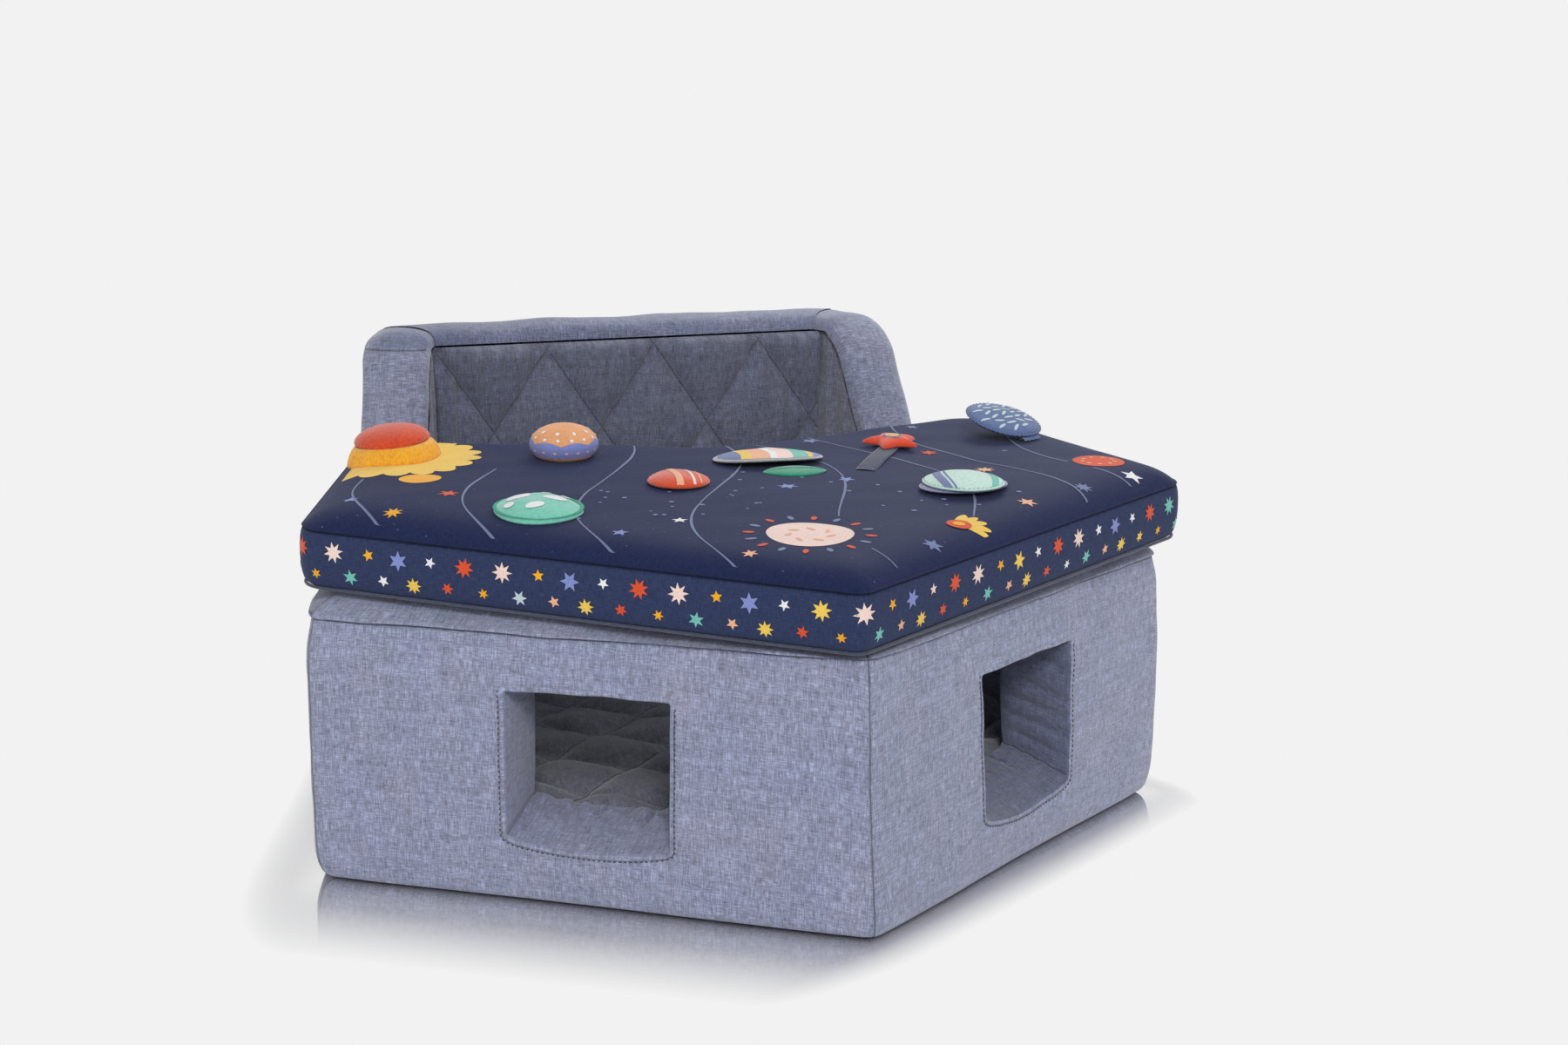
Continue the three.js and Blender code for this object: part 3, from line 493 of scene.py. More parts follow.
# Points round a wall's corner, and how far from a mitre its length is drawn in
ARC = [36, 27, 18, 9, 0]
arc_s = [CORNER_ROUND * (COT - math.sin(t * DEG)) for t in ARC]
arc_w = [CORNER_ROUND * (1 - math.cos(t * DEG)) for t in ARC]
ZONE = 0.06


def nominal(s, w):
    return (s - COT * w) * ZONE / (ZONE - COT * w)


arc_nominal = [nominal(s, w) for s, w in zip(arc_s, arc_w)]
LOW_SHARES = [v / 0.25 for v in arc_nominal] + list(np.linspace(0.055, 0.97, 26))
TOP_SHARES = list(np.linspace(0.12, 0.74, 5)) + [0.0] * 5


def low_stations(k):
    start, end = WINDOWS[k]
    inner = [0.0145, 0.021, 0.03, 0.04, 0.051, 0.063, 0.076, 0.09, 0.104, 0.117, 0.128, start - 0.0025]
    window = list(np.linspace(start + 0.004, end - 0.004, 15))
    half = arc_nominal + inner
    other = [SIDE - v for v in half[:-1]][::-1]
    s = np.array(half + window + [end + 0.0025] + other)
    w = np.array(arc_w + [0] * (len(s) - 10) + arc_w[::-1])
    return s, w


def low_profile(k):
    s, w = low_stations(k)
    seam = np.stack([s, np.full_like(s, SEAM_H)], -1)

    def ridge(depth):
        along = s if k == FRONT_RIGHT else SIDE - s
        z = tray_plane(along * math.sin(36 * DEG) + depth * math.cos(36 * DEG)) - 3 * GAP
        return np.stack([s, z], -1)

    return seam, ridge, w


def back_profile(_):
    inner = list(np.linspace(0.016, SIDE - 0.016, 48))
    s = np.array(arc_nominal + inner + [SIDE - v for v in arc_nominal][::-1])
    w = np.array(arc_w + [0] * len(inner) + arc_w[::-1])
    seam = np.stack([s, np.full_like(s, BACK_SEAM_H)], -1)
    return seam, lambda depth: seam + [0, CAP_T], w


def side_profile(k):
    wing_foot = side_ridge(SIDE - WING_RUN)
    seam = swept(SEAM_H, wing_foot - CAP_T, BACK_SEAM_H, CAP_T, WING_FOOT_R + CAP_T, WING_TOP_R - CAP_T)
    top = swept(side_ridge(0), wing_foot, BACK_SEAM_H + CAP_T, 0, WING_FOOT_R, WING_TOP_R)
    for line in (seam, top):
        line[-5:, 0] = [SIDE - v for v in arc_nominal][::-1]
    w = np.array(arc_w + [0] * (len(seam) - 10) + arc_w[::-1])
    if k == LEFT_SIDE:
        seam, top = [np.stack([SIDE - line[::-1, 0], line[::-1, 1]], -1) for line in (seam, top)]
    clear = np.array([0, -2 * GAP])
    return seam, lambda depth: top + clear, w


PROFILES = {
    FRONT_RIGHT: low_profile,
    RIGHT_SIDE: side_profile,
    BACK: back_profile,
    LEFT_SIDE: side_profile,
    FRONT_LEFT: low_profile,
}

# How far the panels swell, dip under the roll, bulge at the foot and draw in at the corners
PANEL_SWELL = 0.0030
MIDDLE_SWELL = 0.0016
SEAM_DIP = 0.0016
FOOT_BULGE = 0.0125
FOOT_TUCK = 0.0030
ZIP_GROOVE = 0.0036

big_waves = Waves(3, 0.09, 0.24)
mid_waves = Waves(5, 0.035, 0.08)
fine_waves = Waves(8, 0.012, 0.03)


def swell(s, z, top):
    """How far the outer face stands proud at that place."""
    share = np.clip(z / top, 0, 1)
    rise = np.sin(math.pi * share) ** 0.75
    along = np.sin(math.pi * np.clip(s / SIDE, 0, 1)) ** 0.6
    dip = np.exp(-((1 - share) * top / 0.012) ** 2)
    return PANEL_SWELL * rise + MIDDLE_SWELL * rise * along - SEAM_DIP * dip


def mitred(s, w):
    """Length along the wall at depth w, drawn in near the mitres."""
    near = np.clip(1 - s / ZONE, 0, 1)
    far = np.clip(1 - (SIDE - s) / ZONE, 0, 1)
    return s + COT * w * near - COT * w * far


def foot_give(k, s, z):
    """The foot bulges at the front corner and draws in at the other corners."""
    front = {FRONT_LEFT: SIDE - s, FRONT_RIGHT: s}.get(k, SIDE + 0 * s)
    ends = {FRONT_LEFT: s, FRONT_RIGHT: SIDE - s}.get(k, np.minimum(s, SIDE - s))
    bulge = FOOT_BULGE * np.exp(-((front / 0.17) ** 2)) * np.clip(1 - z / 0.12, 0, 1) ** 1.6
    tuck = FOOT_TUCK * np.exp(-((ends / 0.03) ** 2)) * np.clip(1 - z / 0.022, 0, 1) ** 2
    return bulge - tuck


ZIP_ROWS = [0.0242, 0.0256, 0.0266, 0.0300, 0.0340, 0.0380, 0.0414, 0.0424, 0.0438]


def zip_groove(k, s, z):
    """1 over the slot that the zip lies in, at the foot of the back; 0 elsewhere."""
    if k != BACK:
        return 0 * s
    high = np.clip((z - 0.0250) / 0.0012, 0, 1) * np.clip((0.0430 - z) / 0.0012, 0, 1)
    return high * np.clip((0.1685 - np.abs(s - SIDE / 2)) / 0.004, 0, 1)


def panel_heights(k, top):
    """Rows of a wall's panel from the foot to the seam at each station."""
    heights = [BASE_T + (top - BASE_T) * f for f in SHARES[HEM_SHARES:]]
    if k != BACK:
        return heights
    above = [z for z in heights if z[0] > ZIP_ROWS[-1] + 0.002]
    return [np.full_like(top, z) for z in ZIP_ROWS] + above


# Shares of the height of a panel; two of them lie on the foot windows' edges
def panel_shares():
    low, high = [(z - BASE_T) / (SEAM_H - BASE_T) for z in (WINDOW_SILL - 0.0025, WINDOW_HEAD + 0.0025)]
    first = [0, 0.012, 0.03, 0.055]
    return np.array(
        first
        + list(np.linspace(0.09, low, 5))
        + list(np.linspace(low, high, 14))[1:]
        + list(np.linspace(high, 0.955, 6))[1:]
        + [0.978, 0.992, 1.0]
    )


SHARES = panel_shares()
WING_SEAM_Z = 0.332
HEM_SHARES = 4
HEM_REACH = 0.0151
# Height and tuck of each row of a panel's lower hem
HEM = [
    (0.0009, 0.0150), (0.0009, 0.0070), (0.0015, 0.0044), (0.0028, 0.0026), (0.0046, 0.0014), (0.0072, 0.0006),
    (0.0110, 0.0002), (0.0160, 0.0),
]
# Depth, height and overhang of the roll's rows
ROLL_W = [0.0, 0.006, 0.02, 0.05, 0.1, 0.17, 0.28, 0.4, 0.5]
ROLL_W = ROLL_W + [1 - w for w in ROLL_W[-2::-1]]
LOW_ROLL = [0.05, 0.13, 0.21, 0.31, 0.42, 0.55, 0.72, 0.86, 0.92]
HIGH_ROLL = [0.26, 0.52, 0.76, 0.98, 1.14, 1.25, 1.34, 1.39, 1.40]
ROLL_OUT = [0.0018, 0.0026, 0.0024, 0.0010, 0.0, 0.0, 0.0, 0.0, 0.0]


def roll_share(i, seam_z):
    """Share of the ridge reached by row i of the roll: flat under the tray, domed above it."""
    i = min(i, len(ROLL_W) - 1 - i)
    high = np.clip((seam_z - SEAM_H) / 0.06, 0, 1)
    high = high * high * (3 - 2 * high)
    return LOW_ROLL[i] + (HIGH_ROLL[i] - LOW_ROLL[i]) * high


def roll_out(i, s):
    """How far row i of the roll hangs over the outer face; nothing over the inner one."""
    ends = np.clip(np.minimum(s, SIDE - s) / 0.03, 0, 1)
    return ROLL_OUT[i] * ends if i < len(ROLL_OUT) else 0 * s


def cloth_waves(points):
    """Slack of the cloth at three scales, of about unit height."""
    return 0.6 * big_waves(points) + 0.32 * mid_waves(points) + 0.12 * fine_waves(points)


def crumple(points, normals, amount):
    waves = amount * cloth_waves(points)
    waves = waves * np.clip(points[:, 2] / 0.02, 0, 1)
    moved = points + normals * waves[:, None]
    moved[:, 2] = np.maximum(moved[:, 2], 0.0004)
    return moved


def grid_normals(points, rows, columns):
    grid = points.reshape(rows, columns, 3)
    across = np.gradient(grid, axis=1)
    along = np.gradient(grid, axis=0)
    normals = np.cross(across, along)
    normals /= np.linalg.norm(normals, axis=-1, keepdims=True) + 1e-12
    return normals.reshape(-1, 3)


SILL_SAG = {FRONT_RIGHT: 0.0095, FRONT_LEFT: 0.0060}


def sill_arch(k, s):
    start, end = WINDOWS[k]
    return np.sin(math.pi * np.clip((s - start) / (end - start), 0, 1)) ** 0.7


def roll_painted_shade(k, s, z):
    """Painted shade on the rolls: on the backrest's, full at its left end, little at its right; also on the left
    wing's above its seam and a little on the right wing's by the back.
    """
    if k == BACK:
        return 0.35 + 0.65 * np.clip(s / SIDE, 0, 1)
    if k == LEFT_SIDE:
        return np.clip((z - WING_SEAM_Z) / 0.001, 0, 1)
    if k == RIGHT_SIDE:
        return 0.35 * np.clip(1 - (SIDE - s) / 0.10, 0, 1)
    return 0 * s


def cover_rows(k, seam, ridge, round_w):
    """Length, depth and height of each row of a wall's cover, and how many rows lie below the roll."""
    s, top = seam.T
    rows = []
    for z, tuck in HEM:
        w = tuck - swell(s, z, top) + round_w - foot_give(k, s, z) * (1 - tuck / HEM_REACH)
        rows.append((mitred(s, w), w, np.full(len(s), z)))
    for z in panel_heights(k, top):
        groove = zip_groove(k, s, z)
        w = -swell(s, z, top) * (1 - groove) + ZIP_GROOVE * groove + round_w - foot_give(k, s, z)
        if k in WINDOWS:
            z = z - SILL_SAG[k] * sill_arch(k, s) * np.exp(-(((z - WINDOW_SILL) / 0.016) ** 2))
        rows.append((mitred(s, w), w, z))
    outer_rows = len(rows)
    for i, w_share in enumerate(ROLL_W):
        depth = w_share * WALL_T
        point = seam + (ridge(depth) - seam) * roll_share(i, top)[:, None]
        w = depth + round_w * (1 - w_share) - roll_out(i, s)
        rows.append((mitred(point[:, 0], w), w, point[:, 1]))
    return rows, outer_rows


def cover_seams(k, s, w, z, run, outer_rows):
    """Distances to the seam under the roll, the seams at the corners and the one across the left wing."""
    at_top = run - run[outer_rows - 1] - (0.0 if k in WINDOWS else 0.005)
    at_end = np.minimum(s - COT * w, SIDE - s - COT * w)
    if k not in WINDOWS:
        high = {RIGHT_SIDE: s > SIDE / 2, LEFT_SIDE: s < SIDE / 2, BACK: s > -1}[k]
        right = {RIGHT_SIDE: high, BACK: s < SIDE / 2}.get(k, np.zeros_like(high))
        row_at = np.arange(len(s))[:, None]
        upper = (row_at >= outer_rows) & (row_at < outer_rows + len(ROLL_W) // 2)
        at_end = np.where(high & upper | right & (row_at >= outer_rows), NO_SEAM, at_end)
    across = np.full_like(run, NO_SEAM)
    if k == LEFT_SIDE:
        across[outer_rows:-3] = z[outer_rows:-3] - WING_SEAM_Z
    return seam_rows(at_top, at_end, across)


def beside_window(k, seam):
    """Which strips between a wall's stations lie beside its window."""
    s_mid = (seam[1:, 0] + seam[:-1, 0]) / 2
    return (s_mid < WINDOWS[k][0] - 0.0024) | (s_mid > WINDOWS[k][1] + 0.0024)


def run_down(points):
    """Length along each column of a grid of points, from its first row."""
    steps = np.linalg.norm(np.diff(points, axis=0), axis=-1)
    return np.concatenate([np.zeros((1, points.shape[1])), np.cumsum(steps, axis=0)])


def wall_cover(k):
    seam, ridge, round_w = PROFILES[k](k)
    columns = len(seam)
    rows, outer_rows = cover_rows(k, seam, ridge, round_w)
    points = np.stack([wall_to_world(k, *row) for row in rows])
    s, w, z = (np.stack(part) for part in zip(*rows))
    run = run_down(points)
    # Painted shade on the rolls only, none on the panels, fading in over the roll's outer edge
    painted_shade = roll_painted_shade(k, s, z)
    painted_shade[:outer_rows] = 0
    painted_shade[outer_rows:] *= np.clip(np.array(ROLL_W) / 0.28, 0, 1)[:, None]
    painted_shade = np.repeat(painted_shade.reshape(-1, 1), 3, axis=1)
    seams = cover_seams(k, s, w, z, run, outer_rows)
    keep = np.ones((len(rows) - 1, columns - 1), bool)
    if k in WINDOWS:
        for j in range(outer_rows - 1):
            z_mid = float(z[j].mean() + z[j + 1].mean()) / 2
            if WINDOW_SILL - 0.003 < z_mid < WINDOW_HEAD + 0.003:
                keep[j] = beside_window(k, seam)
    flat = points.reshape(-1, 3)
    flat = crumple(flat, grid_normals(flat, len(rows), columns), 0.0011)
    along = np.concatenate([[0], np.cumsum(np.linalg.norm(np.diff(points[outer_rows - 1], axis=0), axis=1))])
    panel_uv = np.stack([s, run], -1).reshape(-1, 2)
    roll_uv = np.stack([np.broadcast_to(along, run.shape), run - run[outer_rows - 1]], -1).reshape(-1, 2)
    name = WALLS[k]
    mat = outer_cloth if k in WINDOWS else back_painted_shade_cloth
    for part, first, last, uv, nodes in (
        ("_cover", 0, outer_rows, panel_uv, ["_outer_panel", "_foam"]),
        ("_roll_cover", outer_rows - 1, len(rows), roll_uv, ["_top_roll"]),
    ):
        cut = slice(first * columns, last * columns)
        faces = grid_faces(last - first, columns, keep[first:last - 1])
        marks = {"seams": seams[cut], "painted_shade": painted_shade[cut]}
        obj = make_object(name + part, flat[cut], faces, mat, uv[cut], attributes=marks)
        subdivide(obj)
        dress(obj, "seat_base", [name + node for node in nodes])


def inner_swell(s, z, top):
    share = np.clip((z - 0.06) / (top - 0.06), 0, 1)
    rise = np.sin(math.pi * share) ** 0.7 * np.sin(math.pi * np.clip((s - 0.02) / (SIDE - 0.04), 0, 1)) ** 0.5
    return 0.004 * rise


def lining_pleats(k, s):
    """Upright folds of the lining where a side meets the back."""
    if k not in (RIGHT_SIDE, LEFT_SIDE):
        return 0 * s
    reach = SIDE - s if k == RIGHT_SIDE else s
    fade = np.clip((reach - 0.045) / 0.02, 0, 1) * np.exp(-np.maximum(reach - 0.06, 0) / 0.04)
    return 0.0022 * fade * np.sin(s * 2 * math.pi / 0.019 + 1.3 * np.sin(s * 120))


def inner_cover(k):
    seam, ridge, _ = PROFILES[k](k)
    s, top = seam.T
    rows = []
    for f in SHARES[3:]:
        z = BASE_T + (top - BASE_T) * f
        w = WALL_T + inner_swell(s, z, top) - 0.0012 * np.clip(1 - (1 - f) / 0.03, 0, 1) + lining_pleats(k, s)
        rows.append((mitred(s, w), w, z))
    head = top + (ridge(WALL_T)[:, 1] - top) * 0.12
    rows.append((mitred(s, WALL_T), np.full(len(s), WALL_T - 0.0002), head))
    points = np.stack([wall_to_world(k, *row) for row in rows])
    s_all, w_all, z_all = (np.stack(part) for part in zip(*rows))
    at_end = np.minimum(s_all - COT * w_all, SIDE - s_all - COT * w_all)
    keep = np.ones((len(rows) - 1, len(s) - 1), bool)
    if k in WINDOWS:
        for j, z in enumerate((z_all[1:, 0] + z_all[:-1, 0]) / 2):
            if WINDOW_SILL + SILL_RISE - 0.010 < z < WINDOW_HEAD + 0.003:
                keep[j] = beside_window(k, seam)
    flat = points.reshape(-1, 3)
    flat = crumple(flat, grid_normals(flat, len(rows), len(s)), 0.001)
    faces = [f[::-1] for f in grid_faces(len(rows), len(s), keep)]
    name = WALLS[k]
    uv = np.stack([s_all, z_all], -1).reshape(-1, 2)
    seams = seam_rows(z_all - top[None], at_end)
    obj = make_object(name + "_lining", flat, faces, inner_cloth, uv, attributes={"seams": seams})
    subdivide(obj)
    dress(obj, "seat_base", [name + "_inner_panel"])


# Foot window: a narrow stitched lip, soft jambs and a sagging, puckered sill that climbs inward
LIP = [
    (0.0045, 0.0010), (0.0044, 0.0), (0.0038, -0.0004), (0.0020, -0.0005), (0.0008, -0.0001), (0.0002, 0.0008),
    (0.0, 0.0022),
]
INNER_LIP = [(0.0006, -0.0015), (0.002, 0.0012), (0.005, 0.0032), (0.008, 0.0036)]
FOLD_R = 0.0014
# Place, depth, reach and slant of the creases that run in over a sill
PLEATS = {
    FRONT_RIGHT: [
        (0.160, 0.0024, 0.024, 0.004), (0.188, 0.0018, 0.028, 0.002), (0.214, 0.0022, 0.020, -0.003),
        (0.240, 0.0022, 0.026, -0.005),
    ],
    FRONT_LEFT: [
        (0.180, 0.0030, 0.016, -0.004), (0.203, 0.0042, 0.022, -0.006), (0.221, 0.0026, 0.014, -0.003),
        (0.238, 0.0070, 0.026, 0.0),
    ],
}


def window_ring(k, grow, radius, sill):
    x0, x1 = WINDOWS[k][0] - grow, WINDOWS[k][1] + grow
    z0, z1 = sill - grow, WINDOW_HEAD + grow
    corners = [(x0, z0), (x1, z0), (x1, z1), (x0, z1)]
    ring = []
    for i in range(4):
        arc = round_corner(corners[i - 1], corners[i], corners[(i + 1) % 4], radius, 5)
        after = round_corner(corners[i], corners[(i + 1) % 4], corners[(i + 2) % 4], radius, 5)[0]
        ring += arc + line_points(arc[-1], after, 120 if i % 2 == 0 else 48)
    return np.array(ring)


def sill_shape(k, s, w):
    """Rise of the sill cloth at a depth: sag at the front, puff in the middle, creases running in."""
    arch = sill_arch(k, s)
    inside = np.clip(w / WALL_T, 0, 1)
    sag = -SILL_SAG[k] * arch * (1 - inside) ** 1.5
    rise = sag - 0.006 * arch * inside + 0.003 * math.sin(math.pi * inside) * arch
    for at, deep, reach, slant in PLEATS[k]:
        along = np.clip((w - (WALL_T - 0.004 - reach)) / reach, 0, 1)
        rise = rise - deep * along ** 0.7 * np.exp(-((s - at - slant * (1 - along)) / 0.0021) ** 2)
    if k == FRONT_RIGHT:
        phase = (w + 0.34 * (s - WINDOWS[k][0])) * math.pi / 0.0125 + 0.8 * np.sin(s * 45)
        return rise + 0.0013 * (np.abs(np.sin(phase)) - 0.6) * np.clip(inside * 4, 0, 1)
    return rise + 0.0012 * np.sin((s + 0.9 * w) * 2 * math.pi / 0.019 + 2.0 * np.sin(s * 70)) * inside


def jamb_shape(k, s, z, w):
    """Sideways give of a jamb: level wrinkles on the one by the front corner."""
    inside = math.sin(math.pi * np.clip(w / WALL_T, 0, 1))
    if k == FRONT_RIGHT:
        phase = (z - 0.30 * w) * math.pi / 0.0185 + 1.1 * np.sin(z * 70)
        return inside ** 0.5 * np.where(s > sum(WINDOWS[k]) / 2, 0.0036, 0.0012) * (0.6 - np.abs(np.sin(phase)) ** 0.8)
    rough = np.where(s < sum(WINDOWS[k]) / 2, 0.0006, 0.0014)
    wrinkle = rough * np.sin((z + 0.35 * w) * 2 * math.pi / 0.015 + 2.2 * np.sin(z * 95))
    return inside * (wrinkle - 0.001)


def below_head(ring):
    """The closed ring without its run along the window's head."""
    low = ring[:, 2] < ring[:, 2].max() - 0.004
    start = np.flatnonzero(low & ~np.roll(low, 1))[0]
    return np.roll(ring, -start, axis=0)[:low.sum()]


def sleeve_row(k, outward, grow, w):
    """One ring of a window's lining, grown round the opening at a depth."""
    lift = SILL_RISE * np.clip(w / WALL_T, 0, 1) ** 0.8
    s, z = window_ring(k, grow, FOLD_R + grow, WINDOW_SILL - 0.001 + lift).T
    skin = np.clip(1 - w / 0.006, 0, 1)
    depth = np.full(len(s), w) - swell(s, z, SEAM_H) * skin - foot_give(k, s, z) * np.clip(1 - w / 0.025, 0, 1)
    if w > WALL_T - 0.002:
        depth = depth + inner_swell(s, z, SEAM_H)
    low = np.clip(1 - (z - (WINDOW_SILL + lift)) / 0.012, 0, 1)
    low = low * low * (3 - 2 * low)
    fade = np.clip(1 - (grow - 0.003) / 0.005, 0, 1) if w > WALL_T else 1.0
    z = z + low * sill_shape(k, s, w) * fade
    off_centre = s - sum(WINDOWS[k]) / 2
    side = (1 - low) * (np.abs(z - 0.1) < 0.047) * (np.abs(off_centre) > 0.05)
    s = s + np.sign(off_centre) * side * jamb_shape(k, s, z, w)
    top = np.clip((z - WINDOW_HEAD + 0.004) / 0.004, 0, 1)
    z = z + top * (0.0003 * np.sin(s * 150) + 0.0012 * np.cos(math.pi * off_centre / 0.127))
    place_at = wall_to_world(k, s, depth, z)
    return place_at + outward * (0.0011 * cloth_waves(place_at) * skin)[:, None]


def window_sleeve(k):
    name = WALLS[k]
    loops = list(LIP)
    loops += [(0.0, 0.0042 + (WALL_T - 0.0084) * i / 14) for i in range(1, 15)]
    loops += [(grow, WALL_T + w) for grow, w in INNER_LIP]
    a = (72 * k + 36) * DEG
    outward = np.array([math.sin(a), -math.cos(a), 0])
    points = np.stack([sleeve_row(k, outward, grow, w) for grow, w in loops])
    run = run_down(points)
    ring = points[len(LIP)]
    around = np.concatenate([[0], np.cumsum(np.linalg.norm(np.diff(ring, axis=0), axis=1))])
    uv = np.stack([np.broadcast_to(around, run.shape), run], -1).reshape(-1, 2)
    flat_ring = window_ring(k, 0, FOLD_R, WINDOW_SILL)
    corners = itertools.product(WINDOWS[k], (WINDOW_SILL, WINDOW_HEAD))
    folds = [around[np.argmin(np.hypot(*(flat_ring - corner).T))] for corner in corners]
    at_fold = np.min([np.abs(around - fold) for fold in folds], axis=0)
    at_fold = np.where(run < 0.006, NO_SEAM, at_fold[None] + 0.0003)
    at_lip = np.where(flat_ring[:, 1] > WINDOW_HEAD - 0.003, NO_SEAM, run - 0.0021)
    count = points.shape[1]
    faces = grid_faces(len(loops), count, closed=True)
    mats = [0 if i < (len(LIP) - 3) * count else 1 for i in range(len(faces))]
    WINDOW_LIPS[k] = below_head(points[1] + outward * 0.0004), outward
    cloths = [outer_cloth, shaded_sleeve_cloth if k == FRONT_RIGHT else sleeve_cloth]
    marks = {"seams": seam_rows(at_lip, at_fold)}
    obj = make_object(name + "_window_lining", points.reshape(-1, 3), faces, cloths, uv, mats, marks)
    subdivide(obj)
    dress(obj, "seat_base", [name + "_window_sleeve"])


# Each window's stitched lip, for the stitches made later
WINDOW_LIPS = {}
for wall in WALLS:
    wall_cover(wall)
    inner_cover(wall)
for wall in (FRONT_RIGHT, FRONT_LEFT):
    window_sleeve(wall)


# Quilting: puffed between diagonal stitch lines, gathered along them
QUILT_WIDTH = 0.092
BACK_QUILT_HEIGHT = 0.136
BACK_QUILT_SHIFT = 0.072
QUILT_PUFF_R = 0.010
PUCKER_R = 0.012


def quilt(u, v, width, height):
    """Signed distances to the two nearest stitch lines, and the puff from 0 to 1."""
    a, b = u / width, v / height
    scale = 1 / math.hypot(1 / width, 1 / height)
    first, second = [(line - np.round(line)) * scale for line in (a + b, a - b)]
    puff = (1 - np.exp(-np.abs(first) / QUILT_PUFF_R)) * (1 - np.exp(-np.abs(second) / QUILT_PUFF_R))
    return first, second, puff


def shoulder_share(edge, reach):
    """Round shoulder of a pad: 0 at its edge, 1 from the reach on."""
    share = np.clip(edge / reach, 0, 1)
    return np.sqrt(share * (2 - share))


def back_pad():
    lo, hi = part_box("quilted_back_pad")
    columns, rows = 150, 120
    x = np.linspace(lo.x - 0.004, hi.x + 0.004, columns)
    z = np.linspace(lo.z, hi.z + 0.005, rows)
    X, Z = np.meshgrid(x, z)
    u, v = X - (lo.x + hi.x) / 2, Z - hi.z
    first, second, puff = quilt(u + BACK_QUILT_SHIFT, v, QUILT_WIDTH, BACK_QUILT_HEIGHT)
    near = np.minimum(np.abs(first), np.abs(second))
    shoulder = shoulder_share(np.minimum.reduce([X - x[0], x[-1] - X, Z - z[0], z[-1] - Z]), 0.012)
    gather = np.sin(X * 2 * math.pi / 0.024 + 2.5 * np.sin(X * 47)) * np.exp(-(hi.z - Z) / 0.05)
    gather = gather * (1 + 1.6 * np.exp(-(((X - lo.x) / 0.06) ** 2)) + 0.8 * np.exp(-(((hi.x - X) / 0.05) ** 2)))
    pucker = fine_waves(np.stack([X, Z * 0.5, Z * 0], -1)) * np.exp(-near / PUCKER_R)
    crease = np.exp(-(((X - lo.x - 0.016) / 0.0035) ** 2))
    thick = 0.004 + 0.0125 * (0.25 + 0.75 * puff) * shoulder
    thick = thick + (0.0022 * gather + 0.0006 * pucker - 0.0065 * crease) * shoulder
    Y = hi.y - np.maximum(thick, 0.0015)
    points = np.stack([X, Y, Z], -1).reshape(-1, 3)
    uv = np.stack([X, Z], -1).reshape(-1, 2)
    marks = {"seams": seam_rows(first, second)}
    obj = make_object("quilted_back", points, grid_faces(rows, columns), quilt_cloth, uv, attributes=marks)
    dress(obj, "seat_base", ["quilted_back_pad"])


def pentagon(radius):
    """Corners of a pentagon about the middle of the seat."""
    return [(radius * math.cos((72 * k - 90) * DEG), radius * math.sin((72 * k - 90) * DEG)) for k in range(5)]


def seat_mat():
    lo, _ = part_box("quilted_seat_mat")
    per_side, rings = 48, 64
    reach = CORNER_R - WALL_T / math.sin(54 * DEG) - 0.0008
    corners = pentagon(reach)
    outline = []
    for k in range(5):
        a, b = np.array(corners[k]), np.array(corners[(k + 1) % 5])
        outline += [a + (b - a) * t for t in np.linspace(0, 1, per_side, endpoint=False)]
    outline = np.array(outline)
    shares = np.linspace(1, 0.004, rings)
    points = outline[None] * shares[:, None, None]
    u, v = points[..., 0], points[..., 1]
    X, Y = u + CENTRE[0], v + CENTRE[1]
    first, second, puff = quilt(u, v, QUILT_WIDTH, QUILT_WIDTH)
    near = np.minimum(np.abs(first), np.abs(second))
    shoulder = shoulder_share((1 - shares)[:, None] * reach * math.cos(36 * DEG), 0.02)
    place_at = np.stack([X, Y, Y * 0], -1)
    pucker = fine_waves(place_at) * np.exp(-near / PUCKER_R)
    Z = lo.z + 0.012 + 0.0175 * (0.35 + 0.65 * puff) * shoulder + 0.0007 * pucker + 0.0012 * mid_waves(place_at)
    flat = np.stack([X, Y, Z], -1).reshape(-1, 3)
    uv = np.stack([X, Y], -1).reshape(-1, 2)
    faces = grid_faces(rings, len(outline), closed=True) + ring_caps(rings, len(outline))[1:]
    obj = make_object("quilted_mat", flat, faces, mat_cloth, uv, attributes={"seams": seam_rows(first, second)})
    dress(obj, "seat_base", ["quilted_seat_mat", "floor_foam"])


back_pad()
seat_mat()

# Tray, in its own frame
OVERHANG = 0.006
TRAY_YAW = -2.8 * DEG
TRAY_SHIFT = 0.006
TRAY_ARM = 0.225
NOTCH_LEAN = 17.8 * DEG
TRAY_RADII = [0.014, 0.026, 0.026, 0.165, 0.026, 0.026]
EDGE_H = 0.042
CROWN = 0.016
CROWN_POWER = 18
SEAM_Z = 0.0416
BAND_SEAM_Z = 0.0414
FLECK = srgb(140, 150, 190)
TILTED = np.array([[1, 0, 0], [0, math.cos(TILT), -math.sin(TILT)], [0, math.sin(TILT), math.cos(TILT)]])


def tray_outline(steps):
    lean = np.array([-math.sin(18 * DEG), math.cos(18 * DEG)])
    half = 54 * DEG
    nose = np.array([0, -OVERHANG / math.sin(half)])
    reach = SIDE * math.sin(half) + OVERHANG / math.cos(18 * DEG)
    widest = meet(nose, [math.cos(36 * DEG), math.sin(36 * DEG)], [reach, SIDE * math.cos(half)], lean)
    rear = widest + lean * TRAY_ARM
    notch = np.array([0, rear[1] - rear[0] * math.tan(NOTCH_LEAN)])
    mirror = np.array([-1, 1])
    corners = [nose, widest, rear, notch, rear * mirror, widest * mirror]
    points = []
    for i, radius in enumerate(TRAY_RADII):
        points += round_corner(corners[i - 1], corners[i], corners[(i + 1) % 6], radius, steps)
    return np.array(points)


